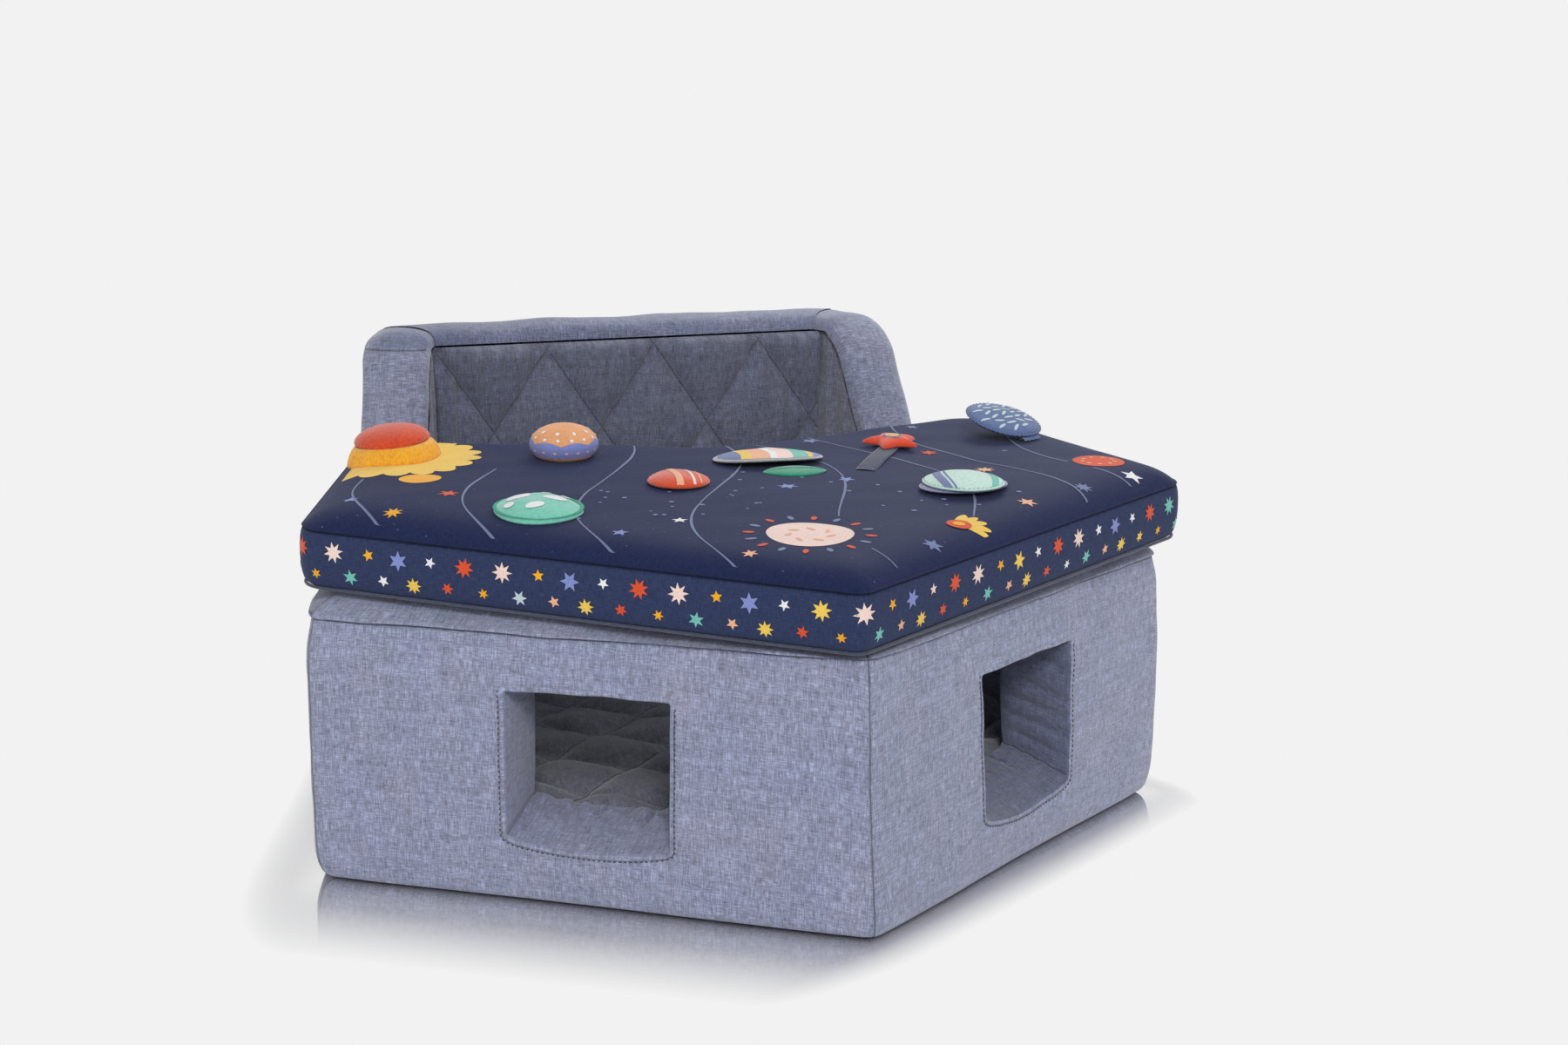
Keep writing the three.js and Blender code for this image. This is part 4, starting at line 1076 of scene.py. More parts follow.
def resample(loop, count):
    closed = np.vstack([loop, loop[:1]])
    run = np.concatenate([[0], np.cumsum(np.linalg.norm(np.diff(closed, axis=0), axis=1))])
    at = np.linspace(0, run[-1], count, endpoint=False)
    return np.stack([np.interp(at, run, closed[:, i]) for i in range(2)], -1), at, run[-1]


rim_plain = tray_outline(6)
middle = np.array([0, rim_plain[:, 1].mean()])
rim, rim_run, rim_length = resample(tray_outline(40), 720)
tangent = np.roll(rim, -1, 0) - np.roll(rim, 1, 0)
tangent /= np.linalg.norm(tangent, axis=1)[:, None]
rim_normal = np.stack([tangent[:, 1], -tangent[:, 0]], -1)
rim_angle = np.unwrap(np.arctan2(rim[:, 1] - middle[1], rim[:, 0] - middle[0]))
rim_reach = np.linalg.norm(rim - middle, axis=1)


def rim_share(x, y):
    dx, dy = np.asarray(x) - middle[0], np.asarray(y) - middle[1]
    angle = np.arctan2(dy, dx)
    angle = rim_angle[0] + (angle - rim_angle[0]) % (2 * math.pi)
    reach = np.interp(angle, np.append(rim_angle, rim_angle[0] + 2 * math.pi), np.append(rim_reach, rim_reach[0]))
    return np.hypot(dx, dy) / reach


def tray_top(x, y):
    return EDGE_H + CROWN * (1 - np.clip(rim_share(x, y), 0, 1) ** CROWN_POWER)


tray_waves = Waves(21, 0.10, 0.30)
tray_folds = Waves(23, 0.03, 0.09)


def tray_skin(x, y):
    """Height of the dressed top: the crown with a few soft undulations that die out at the seam."""
    x, y = np.broadcast_arrays(np.asarray(x, float), np.asarray(y, float))
    share = np.clip(rim_share(x, y), 0, 1)
    place_at = np.stack([x, y, np.zeros_like(x)], -1)
    rough = 0.0009 * tray_waves(place_at) + 0.00025 * tray_folds(place_at)
    return EDGE_H + CROWN * (1 - share ** CROWN_POWER) + rough * (1 - share ** 6)


def tray_matrix():
    corner = Vector((CENTRE[0], CENTRE[1] - CORNER_R, TRAY_SEAT_H))
    c, s = math.cos(TRAY_YAW), math.sin(TRAY_YAW)
    yaw = np.array([[c, -s, 0], [s, c, 0], [0, 0, 1]])
    swung = yaw[:2, :2] @ middle
    offset = np.array([middle[0] - swung[0] + TRAY_SHIFT, middle[1] - swung[1], 0])
    matrix = np.eye(4)
    matrix[:3, :3] = TILTED @ yaw
    matrix[:3, 3] = np.array(corner) + TILTED @ offset
    return matrix


TRAY = tray_matrix()


def to_world(matrix, points):
    return np.asarray(points) @ matrix[:3, :3].T + matrix[:3, 3]


def to_tray(seat_x, seat_y):
    """A plan point over the seat, from its front corner, as the tray sees it."""
    p = np.array([seat_x - TRAY_SHIFT, seat_y]) - middle
    c, s = math.cos(-TRAY_YAW), math.sin(-TRAY_YAW)
    return np.array([c * p[0] - s * p[1], s * p[0] + c * p[1]]) + middle


# Printed cotton for the tray: a tight plain weave with pale flecks
def tray_cloth(name, base, flecks=0.0):
    n = Nodes(bpy.data.materials.new(name))
    uv = n.add("ShaderNodeUVMap", uv_map="UVMap")
    threads = n.grain(uv, 1500, 160) + n.grain(uv, 160, 1500)
    tone = (threads * 0.5 - 0.5) * 2.4 + 0.5
    colour = n.ramp(tone, (0.0, shade(base, 0.6)), (0.5, base), (1.0, shade(base, 1.6)))
    colour = n.mix(n.grain(uv, 12, 12, 2.0, 0.5) * 0.2, colour, shade(base, 0.65))
    if flecks:
        spots = n.add("ShaderNodeTexVoronoi", {"Vector": uv, "Scale": 170}, "Distance")
        small = n.math("LESS_THAN", spots, 0.085)
        pick = n.split(spots.other("Color"), "ShaderNodeSeparateColor")[0]
        chosen = n.math("GREATER_THAN", pick, 0.72)
        colour = n.mix(small * chosen * flecks, colour, FLECK)
    line, stitch = seam_lines(n, uv)
    colour = n.mix(line * 0.55, colour, shade(base, 0.25))
    normal = n.bump(threads * 0.5, 0.00022, 0.7)
    normal = n.bump(stitch * 0.2 - line, 0.0007, 0.8, normal)
    return n.shader(colour, 0.72, normal, 0.05, 0.0, 0.10)


top_cloth = tray_cloth("tray_top_print_cloth", NAVY, 0.45)
band_cloth = tray_cloth("tray_band_cloth", srgb(51, 61, 94))
under_cloth = melange("tray_underside_melange", srgb(92, 99, 118), 0.7, 0)
fold_cloth = melange("tray_fold_melange", srgb(72, 77, 98), 0.7, 0)


BAND_PROFILE = [
    (0.0416, -0.0014), (0.0409, -0.0007), (0.0398, 0.0002), (0.0375, 0.0008), (0.034, 0.0013), (0.028, 0.0016),
    (0.021, 0.0017), (0.014, 0.0014), (0.009, 0.0007), (0.0055, -0.0003), (0.003, -0.0018), (0.0014, -0.0038),
    (0.0006, -0.0062),
]


def band_outset(z):
    heights, outs = zip(*BAND_PROFILE[::-1])
    return np.interp(z, heights, outs)


def band_point(run, z, lift=0.0):
    """World place on the band's cloth at a length along the rim and a height."""
    at = np.asarray(run) % rim_length
    x, y, nx, ny = [
        np.interp(at, np.append(rim_run, rim_length), np.append(v, v[0]))
        for v in (rim[:, 0], rim[:, 1], rim_normal[:, 0], rim_normal[:, 1])
    ]
    out = band_outset(z) + band_ripple(at, z) + lift
    return np.stack([x + nx * out, y + ny * out, np.broadcast_to(z, at.shape)], -1)


def band_ripple(run, z):
    angle = 2 * math.pi * np.asarray(run) / rim_length
    turn = np.stack([np.cos(angle) * 0.3, np.sin(angle) * 0.3, np.broadcast_to(z, angle.shape)], -1)
    share = np.sin(math.pi * np.clip(np.asarray(z) / EDGE_H, 0, 1))
    return 0.0007 * tray_waves(turn) * share + 0.0002 * tray_folds(turn) * share


def tray_covers():
    shares = np.concatenate([np.linspace(0.004, 0.86, 58), 1 - 0.14 * np.linspace(1, 0, 22)[1:] ** 1.6])
    rings = []
    for share in shares:
        place_at = middle + (rim - middle) * share
        rings.append(np.column_stack([place_at, tray_skin(place_at[:, 0], place_at[:, 1])]))
    for z, out in ((0.0424, 0.0004), (0.0420, -0.0004), (SEAM_Z, -0.0014)):
        rings.append(level(rim + rim_normal * out, z))
    points = np.stack(rings)
    count = len(rim)
    edge = np.linalg.norm(points[:, :, :2] - rim[None], axis=-1)
    edge[-3:] = 0
    faces = [f[::-1] for f in grid_faces(len(rings), count, closed=True)]
    faces.append(list(range(count)))
    top = make_object(
        "tray_top_cloth", to_world(TRAY, points.reshape(-1, 3)), faces, top_cloth, points[..., :2].reshape(-1, 2),
        attributes={"seams": seam_rows(edge)},
    )
    fix_normals(top)
    dress(top, "tray", ["tray_top_cover"])

    points = np.stack([band_point(rim_run, z) for z, _ in BAND_PROFILE])
    uv = np.stack([np.broadcast_to(rim_run, points.shape[:2]), points[..., 2]], -1).reshape(-1, 2)
    faces = grid_faces(len(points), count, closed=True)
    marks = {"seams": seam_rows(np.abs(points[..., 2] - BAND_SEAM_Z))}
    world = to_world(TRAY, points.reshape(-1, 3))
    band = make_object("tray_band_cloth", world, faces, band_cloth, uv, attributes=marks)
    fix_normals(band)
    dress(band, "tray", ["tray_edge_band", "tray_foam"])

    rows = []
    for step in range(9):
        a = 2 * math.pi * step / 8
        rows.append(level(rim + rim_normal * (-0.0016 + 0.0012 * math.cos(a)), 0.0012 + 0.0012 * math.sin(a)))
    world = to_world(TRAY, np.concatenate(rows))
    uv = np.column_stack([np.tile(rim_run, 9), np.repeat(np.linspace(0, 0.008, 9), count)])
    fold = make_object("tray_band_fold", world, grid_faces(9, count, closed=True), fold_cloth, uv)
    fix_normals(fold)
    dress(fold, "tray")


tray_covers()


# Prints: thin shapes laid on the tray's cloth
PRINT_LIFT = 0.00028


def print_cloth(name, base):
    return cloth(name, base, weave=260, sheen=0.2, spread=0.10)


inks = {
    name: print_cloth("print_" + name, colour)
    for name, colour in {
        "coral": CORAL, "yellow": YELLOW, "gold": GOLD, "white": WHITE, "pink": PINK, "mint": srgb(120, 196, 184),
        "pale": srgb(196, 214, 222), "violet": srgb(134, 145, 206), "blue": WAVE_BLUE, "peach": srgb(244, 184, 150),
        "slate": srgb(116, 128, 172),
    }.items()
}
INK_ORDER = list(inks)


class Print:
    """Collects flat shapes of several inks into one piece."""

    def __init__(self):
        self.points, self.faces, self.ink = [], [], []

    def add(self, points, faces, ink):
        start = sum(len(p) for p in self.points)
        self.points.append(points)
        self.faces += [tuple(start + i for i in f) for f in faces]
        self.ink += [INK_ORDER.index(ink)] * len(faces)

    def finish(self, name, points):
        return make_object(name, points, self.faces, list(inks.values()), face_mats=self.ink)

    def on_tray(self, name, slot):
        """The finished print, drawn in the tray's frame."""
        dress(self.finish(name, to_world(TRAY, np.concatenate(self.points))), "tray")

    def on_toy(self, name, body, matrix):
        """The finished print, drawn in a toy's own frame."""
        dress(place(self.finish(name, np.concatenate(self.points)), matrix), body)


def disc_mesh(outline, centre, rings):
    """Rings from a centre to an outline as (points, faces)."""
    count = len(outline)
    shares = np.linspace(0, 1, rings + 1)[1:]
    points = [np.asarray(centre)] + [centre + (p - centre) * s for s in shares for p in outline]
    faces = [(0, 1 + i, 1 + (i + 1) % count) for i in range(count)]
    for j in range(rings - 1):
        for i in range(count):
            a, b = 1 + j * count + i, 1 + j * count + (i + 1) % count
            faces.append((a, a + count, b + count, b))
    return np.array(points), faces


def on_top(flat, lift=PRINT_LIFT):
    share = rim_share(flat[:, 0], flat[:, 1])
    flat = middle + (flat - middle) * np.minimum(1, 0.968 / np.maximum(share, 1e-6))[:, None]
    return np.column_stack([flat, tray_skin(flat[:, 0], flat[:, 1]) + lift])


def star_outline(radius, waist, tips, turn=0.0):
    angle = math.pi * np.arange(2 * tips) / tips + math.pi / 2 + turn
    r = np.where(np.arange(2 * tips) % 2 == 0, radius, waist)
    return np.stack([r * np.cos(angle), r * np.sin(angle)], -1)


def blob(width, depth, turn=0.0, count=48, wobble=0.0, seed=0):
    t = 2 * math.pi * np.arange(count) / count
    r = 1 + wobble * (np.sin(3 * t + seed) + 0.6 * np.sin(5 * t + 2.1 * seed)) / 1.6
    x, y = width / 2 * np.cos(t) * r, depth / 2 * np.sin(t) * r
    return np.stack([x * math.cos(turn) - y * math.sin(turn), x * math.sin(turn) + y * math.cos(turn)], -1)


def top_shape(sheet, outline, seat, ink, rings=3, lift=PRINT_LIFT):
    centre = to_tray(*seat)
    points, faces = disc_mesh(outline + centre, centre, rings)
    sheet.add(on_top(points, lift), faces, ink)


# A band of stars round the side, in two rows: share of the period, height, ink, tips, radius and waist
BAND_MOTIFS = [
    (0.08, 0.0290, "pink", 8, 0.0076, 0.0036), (0.29, 0.0300, "gold", 5, 0.0044, 0.0020),
    (0.47, 0.0285, "violet", 6, 0.0072, 0.0034), (0.66, 0.0300, "white", 5, 0.0042, 0.0018),
    (0.86, 0.0290, "coral", 8, 0.0072, 0.0036), (0.18, 0.0125, "mint", 6, 0.0058, 0.0026),
    (0.38, 0.0130, "peach", 5, 0.0044, 0.0020), (0.56, 0.0120, "yellow", 8, 0.0060, 0.0030),
    (0.76, 0.0130, "coral", 6, 0.0046, 0.0022), (0.97, 0.0125, "gold", 6, 0.0040, 0.0018),
]


def band_print():
    sheet = Print()
    repeats = 14
    period = rim_length / repeats
    rng = np.random.default_rng(11)
    for i in range(repeats):
        for k, (share, z, ink, tips, radius, waist) in enumerate(BAND_MOTIFS):
            if (i + k) % 7 == 3:
                ink = INK_ORDER[(INK_ORDER.index(ink) + 1) % 7]
            run = (i + share) * period
            turn = rng.uniform(0, 1)
            outline = star_outline(radius, waist, tips, turn)
            points, faces = disc_mesh(outline + [run, z], np.array([run, z]), 2)
            sheet.add(band_point(points[:, 0], points[:, 1], PRINT_LIFT), faces, ink)
    sheet.on_tray("band_stars_print", "tray_band")


# Places of the large motifs, how far the waves keep from them, single stars, and clouds of dots
ROSE = (-0.010, 0.094)
FLAME = (0.100, 0.096)
FLOWER = (-0.232, 0.392)
DROP = (-0.231, 0.316)
SPOT = (0.276, 0.243)
WAVE_GAPS = [(ROSE, 0.050), (FLAME, 0.024), (FLOWER, 0.066), (DROP, 0.020), (SPOT, 0.024)]
TOP_STARS = [
    (-0.268, 0.230, "gold", 8, 0.0075), (-0.222, 0.262, "coral", 6, 0.0080), (-0.085, 0.150, "white", 5, 0.006),
    (0.016, 0.215, "violet", 6, 0.0085), (0.085, 0.360, "slate", 5, 0.0080), (0.180, 0.238, "peach", 8, 0.0085),
    (0.160, 0.300, "coral", 6, 0.0075), (0.172, 0.142, "peach", 6, 0.0080), (0.232, 0.176, "slate", 8, 0.008),
    (0.066, 0.060, "slate", 6, 0.0080), (0.286, 0.205, "white", 5, 0.0090), (-0.020, 0.385, "gold", 5, 0.006),
    (0.066, 0.228, "violet", 5, 0.007), (-0.132, 0.134, "violet", 5, 0.0065), (-0.062, 0.066, "peach", 6, 0.006),
    (0.180, 0.385, "slate", 6, 0.006), (-0.290, 0.272, "violet", 5, 0.006),
]
DOT_CLOUDS = [
    (-0.065, 0.185, 0.040, 20), (0.02, 0.24, 0.03, 10), (0.300, 0.300, 0.03, 12), (0.10, 0.16, 0.04, 12),
]


# Slow waves that cross the top from edge to edge
def top_waves():
    sheet = Print()
    for i, start in enumerate(np.linspace(-0.27, 0.27, 8)):
        t = np.linspace(0, 1, 220)
        x = start + 0.030 * np.sin(2 * math.pi * (t * 1.15 + 0.13 * i)) + 0.06 * (t - 0.5) * (1 if i < 4 else -0.6)
        y = -0.01 + t * 0.44
        inside = rim_share(x, y) < 0.985
        for seat, clear in WAVE_GAPS:
            far = to_tray(*seat)
            inside &= np.hypot(x - far[0], y - far[1]) > clear
        if i in (1, 3, 6):
            inside &= y < 0.30 + 0.02 * i
        keep = np.flatnonzero(inside)
        for run in np.split(keep, np.flatnonzero(np.diff(keep) > 1) + 1):
            if len(run) < 8:
                continue
            line = np.stack([x[run], y[run]], -1)
            way = np.gradient(line, axis=0)
            way /= np.linalg.norm(way, axis=1)[:, None]
            side = np.stack([-way[:, 1], way[:, 0]], -1)
            half = (0.0008 + 0.0002 * np.sin(np.arange(len(run)) * 0.11 + i))[:, None]
            columns = [line - side * half, line, line + side * half]
            points = np.stack([on_top(c) for c in columns], 1).reshape(-1, 3)
            sheet.add(points, grid_faces(len(run), 3), "blue")
    sheet.on_tray("top_waves_print", "tray_top")


def ring_of_marks(sheet, seat, count, turn, reach, size, ink, slant=0.0, points=20, lift=PRINT_LIFT):
    """Small ovals in a ring; ink names one ink, or two that take turns."""
    for k in range(count):
        angle = 2 * math.pi * k / count + turn
        at = (seat[0] + reach[0] * math.cos(angle), seat[1] + reach[1] * math.sin(angle))
        top_shape(sheet, blob(*size, angle + slant, points), at, ink[k % len(ink)], 1, lift)


def top_print():
    sheet = Print()
    rng = np.random.default_rng(4)
    for x, y, ink, tips, size in TOP_STARS:
        top_shape(sheet, star_outline(size, size * 0.45, tips, rng.uniform(0, 1)), (x, y), ink)
    for cx, cy, spread, count in DOT_CLOUDS:
        for _ in range(count):
            seat = (cx + rng.normal() * spread, cy + rng.normal() * spread * 0.7)
            size = rng.uniform(0.0018, 0.0042)
            if rim_share(*to_tray(*seat)) < 0.95:
                top_shape(sheet, blob(size, size, count=14), seat, "slate", 1)
    top_shape(sheet, blob(0.031, 0.029, 0.1, wobble=0.015), DROP, "gold", 5)
    top_shape(sheet, blob(0.060, 0.058, 0.0, wobble=0.02, seed=1), ROSE, "pink", 6)
    top_shape(sheet, blob(0.040, 0.038, 0.0, wobble=0.02, seed=3), SPOT, "coral", 6)
    ring_of_marks(sheet, ROSE, 16, 0.0, (0.042, 0.040), (0.0085, 0.0042), ("slate", "coral"))
    over = 2 * PRINT_LIFT
    ring_of_marks(sheet, ROSE, 7, 0.3, (0.015, 0.014), (0.008, 0.003), ("peach",), 0.9, 16, over)
    for k in range(9):
        angle = 2 * math.pi * k / 9 + 0.2
        seat = (SPOT[0] + 0.0125 * math.cos(angle), SPOT[1] + 0.0118 * math.sin(angle))
        top_shape(sheet, blob(0.0036, 0.0036, 0, 16), seat, "peach", 1, over)
    for k in range(5):
        angle = (k - 2) * 0.42 + 0.2
        seat = (FLAME[0] + 0.011 * math.cos(angle), FLAME[1] + 0.011 * math.sin(angle))
        top_shape(sheet, blob(0.024, 0.008, angle, 28), seat, "yellow", 3, (1 + 0.2 * k) * PRINT_LIFT)
    top_shape(sheet, blob(0.018, 0.017, 0, 32), FLAME, "coral", 3, 2.4 * PRINT_LIFT)
    top_shape(sheet, blob(0.009, 0.008, 0, 24), FLAME, "gold", 2, 3.2 * PRINT_LIFT)
    sheet.on_tray("top_motifs_print", "tray_top")


band_print()
top_waves()
top_print()


# Toys, each in its own frame on the tray's top
TOY_PRINT_LIFT = 0.00025
RIBBON_FOOT = (0.090, 0.252)
RIBBON_YAW = 56
RIBBON_HALF = 0.048
STAR_R = 0.024
STAR_T = 0.0070
# Rings of a stuffed pad, closer together toward its edge
DOME_SHARES = np.sin(np.linspace(0.02, 1, 16) * math.pi / 2)
FRINGE_PROFILE = [
    (0.0338, 0.0), (0.0346, 0.0010), (0.0348, 0.0022), (0.0343, 0.0038), (0.0334, 0.0054), (0.0324, 0.0070),
    (0.0312, 0.0085), (0.0299, 0.0098), (0.0286, 0.0107), (0.0272, 0.0110), (0.0262, 0.0106),
]


def unit(vector):
    vector = np.asarray(vector, float)
    return vector / np.linalg.norm(vector)


def toy_matrix(seat_x, seat_y, yaw, reach):
    """Frame on the crowned top: Z leaves the surface, X turns by yaw."""
    x, y = to_tray(seat_x, seat_y)
    step = 0.008
    slope_x = (tray_top(x + step, y) - tray_top(x - step, y)) / (2 * step)
    slope_y = (tray_top(x, y + step) - tray_top(x, y - step)) / (2 * step)
    centre = tray_top(x, y)
    round_it = blob(2 * reach, 2 * reach, count=20)
    lift = 0.0
    for k in (0.5, 1):
        plane = centre + (slope_x * round_it[:, 0] + slope_y * round_it[:, 1]) * k
        lift = max(lift, float((tray_top(x + round_it[:, 0] * k, y + round_it[:, 1] * k) - plane).max()))
    up = unit([-slope_x, -slope_y, 1])
    turn = Vector((0, 0, 1)).rotation_difference(Vector(up)).to_matrix()
    angle = yaw * DEG - TRAY_YAW
    c, s = math.cos(angle), math.sin(angle)
    local = np.eye(4)
    local[:3, :3] = np.array(turn) @ np.array([[c, -s, 0], [s, c, 0], [0, 0, 1]])
    local[:3, 3] = (x, y, centre + lift + GAP)
    return TRAY @ local


def shifted(matrix, offset):
    moved = np.eye(4)
    moved[:3, 3] = offset
    return matrix @ moved


def turned(matrix, axis, angle):
    c, s = math.cos(angle), math.sin(angle)
    turn = np.eye(4)
    i, j = {"x": (1, 2), "z": (0, 1)}[axis]
    turn[i, i], turn[i, j], turn[j, i], turn[j, j] = c, -s, s, c
    return matrix @ turn


def flap_matrix(x, y, depth, yaw, rest):
    """Frame at a flap's sewn edge; the flap reaches along -Y."""
    angle = yaw * DEG
    seat = toy_matrix(x + math.sin(angle) * depth / 2, y - math.cos(angle) * depth / 2, yaw, depth / 2)
    return turned(shifted(seat, (0, depth / 2, 0)), "x", -rest * DEG)


class Pad:
    """A stuffed oval about its own centre: flat under, seamed at the edge, crowned above."""

    def __init__(self, width, depth, thickness, edge=0.3, power=2.6, fall=0.6, lumps=0.0004, seed=1, droop=0.0):
        self.width, self.depth, self.thickness, self.droop = width, depth, thickness, droop
        self.edge, self.power, self.fall, self.lumps = edge, power, fall, lumps
        self.waves = Waves(seed, 0.015, 0.04)

    def share(self, flat):
        """0 at the middle, 1 at the edge."""
        return np.hypot(2 * flat[:, 0] / self.width, 2 * flat[:, 1] / self.depth)

    def height(self, x, y):
        share = np.clip(np.hypot(2 * x / self.width, 2 * y / self.depth), 0, 1)
        crown = (1 - share ** self.power) ** self.fall
        lumps = self.lumps * self.waves(np.stack([x, y, np.zeros_like(x)], -1)) * crown
        return self.thickness * (self.edge + (1 - self.edge) * crown) + lumps - self.fall_at(x)

    def fall_at(self, x):
        """How far the pad's ends hang below its middle."""
        return self.droop * (2 * x / self.width) ** 2

    def outline(self, scale=1.0, count=72):
        return blob(self.width * scale, self.depth * scale, count=count)

    def body(self, name, matrix, mat, frill=0.0, teeth=0):
        count = 144 if teeth else 72
        shape = self.outline(1.0, count)
        rows = []
        for share in DOME_SHARES:
            ring = shape * share
            rows.append(np.column_stack([ring, self.height(ring[:, 0], ring[:, 1])]))
        low = self.thickness * self.edge
        crown_rows = len(rows)
        if teeth:
            angle = 2 * math.pi * np.arange(count) / count
            saw = np.abs(((angle * teeth / (2 * math.pi)) % 1) * 2 - 1)
            reach = 1 + (frill + 0.0022 * saw) / (self.width / 2)
            frilled = shape * reach[:, None]
            rows += [level(frilled, low + 0.0004), level(frilled, low - 0.0006), level(shape * 0.995, low - 0.0008)]
        else:
            rows.append(level(shape * 1.004, low * 0.75))
        rows += [level(shape * 0.96, 0.0003), level(shape * 0.02, 0.0001)]
        for row in rows[crown_rows:]:
            row[:, 2] -= self.fall_at(row[:, 0])
        return capped(name, rows, mat, matrix)

    def lay(self, sheet, outline, centre, ink, rings=3):
        centre = np.asarray(centre, float)
        points, faces = disc_mesh(outline + centre, centre, rings)
        self.cover(sheet, points, faces, ink, 0.985)

    def cover(self, sheet, flat, faces, ink, limit):
        """Lay a flat shape on the pad, drawn in where it passes the limit."""
        share = self.share(flat)
        over = share > limit
        flat[over] *= (limit / share[over])[:, None]
        z = self.height(flat[:, 0], flat[:, 1]) + TOY_PRINT_LIFT
        sheet.add(np.column_stack([flat, z]), faces, ink)

    def stripe(self, sheet, start, end, ink, bend=0.0, scale=0.97):
        """A band across the pad between two places along its width."""
        t = np.linspace(-1, 1, 41)
        columns = []
        for u in np.linspace(start, end, 7):
            half = self.depth / 2 * math.sqrt(max(scale ** 2 - u * u, 0.0))
            columns.append(np.stack([u * self.width / 2 + bend * (1 - t ** 2), t * half], -1))
        flat = np.stack(columns, 1).reshape(-1, 2)
        self.cover(sheet, flat, grid_faces(len(t), 7), ink, scale)


def thread_run(path, up, length=0.0026, gap=0.0012, radius=0.00035, cross=0.0, closed=True):
    """Stitches along a path as small spindles; cross turns them across the path."""
    path, up = np.asarray(path), np.asarray(up)
    if closed:
        path, up = np.vstack([path, path[:1]]), np.vstack([up, up[:1]])
    run = np.concatenate([[0], np.cumsum(np.linalg.norm(np.diff(path, axis=0), axis=1))])
    count = max(int(run[-1] / (length + gap)), 3)
    points, faces = [], []
    for i in range(count):
        at = run[-1] * i / count
        here = np.array([np.interp(at, run, path[:, k]) for k in range(3)])
        ahead = np.array([np.interp((at + 0.0005) % run[-1], run, path[:, k]) for k in range(3)])
        lift = np.array([np.interp(at, run, up[:, k]) for k in range(3)])
        way = unit(ahead - here)
        side = np.cross(lift, way)
        if cross:
            way, side = side, way
        half = (cross or length) / 2
        start = len(points)
        points.append(here - way * half)
        for angle in range(6):
            a = angle * math.pi / 3
            points.append(here + (side * math.cos(a) + lift * math.sin(a)) * radius)
        points.append(here + way * half)
        for angle in range(6):
            nxt = (angle + 1) % 6
            faces.append((start, start + 1 + nxt, start + 1 + angle))
            faces.append((start + 7, start + 1 + angle, start + 1 + nxt))
    return points, faces


def stitched(name, path, up, matrix, mat, body, slot, **size):
    points, faces = thread_run(path, up, **size)
    obj = place(make_object(name, points, faces, mat), matrix)
    dress(obj, body)
    return obj


def upright(count):
    return np.tile([0.0, 0.0, 1.0], (count, 1))


def sewn_edge(name, pad, scale, matrix, thread, body, slot, count=120, lift=0.0001, **size):
    """Stitches round a pad, a little inside its edge."""
    flat = pad.outline(scale, count)
    path = np.column_stack([flat, pad.height(flat[:, 0], flat[:, 1]) + lift])
    stitched(name, path, upright(count), matrix, threads[thread], body, slot, **size)


felt = {
    name: cloth("felt_" + name, colour, pile=1.0, sheen=0.5, spread=0.1)
    for name, colour in {
        "coral": CORAL, "red": srgb(226, 74, 44), "mint": MINT, "pale_mint": PALE_MINT, "violet": srgb(134, 140, 182),
        "green": GREEN, "grey": srgb(176, 176, 184),
    }.items()
}
dome_cloth = cloth("dome_cap_cloth", srgb(214, 78, 44), pile=1.0, sheen=0.4)
peach_cloth = cloth("peach_cloth", PEACH, weave=300)
blue_cloth = cloth("pillow_cloth", BLUE, weave=280)
loop_cloth = cloth("loop_fringe", srgb(247, 176, 50), pile=1.0, sheen=0.4)
ribbon_cloth = cloth("ribbon_tape", srgb(40, 48, 80), weave=420, sheen=0.3)
threads = {
    name: cloth("thread_" + name, colour, weave=500, sheen=0.4)
    for name, colour in {
        "dark": srgb(50, 54, 72), "mint": srgb(64, 178, 150), "coral": srgb(232, 92, 58), "grey": srgb(206, 206, 212),
        "green": srgb(10, 122, 92), "violet": srgb(104, 112, 160), "blue": srgb(118, 140, 186),
        "red": srgb(240, 100, 66),
    }.items()
}


for wall, (path, outward) in WINDOW_LIPS.items():
    stitched(
        WALLS[wall] + "_window_stitch", path, np.tile(outward, (len(path), 1)), np.eye(4), threads["dark"],
        "seat_base", "outer_fabric", closed=False, length=0.0027, gap=0.0011, radius=0.00045,
    )


def lathe_rows(profile, count, radial):
    angle = 2 * math.pi * np.arange(count) / count
    rows = []
    for i, (r, z) in enumerate(profile):
        reach = r + radial(angle, i / (len(profile) - 1))
        rows.append(np.column_stack([reach * np.cos(angle), reach * np.sin(angle), np.full(count, z)]))
    return rows


def sit_on_tray(points, matrix, blend_height):
    """Bend the foot of a fixed toy to the cloth under it."""
    local = np.linalg.inv(TRAY) @ matrix
    on_tray = to_world(local, points)
    skin = tray_skin(on_tray[:, 0], on_tray[:, 1]) - 0.0004
    foot = to_world(np.linalg.inv(local), np.column_stack([on_tray[:, :2], skin]))[:, 2]
    share = np.clip(1 - points[:, 2] / blend_height, 0, 1)
    points = points.copy()
    points[:, 2] += foot * share
    return points


def dome(name, profile, count, matrix, mat, nodes, radial, blend_height=0.02):
    rows = lathe_rows(profile, count, radial)
    points = sit_on_tray(np.concatenate(rows), matrix, blend_height)
    faces = grid_faces(len(rows), count, closed=True) + ring_caps(len(rows), count)[1:]
    obj = make_object(name, points, faces, mat)
    fix_normals(obj)
    place(obj, matrix)
    dress(obj, "tray", nodes)
    return obj


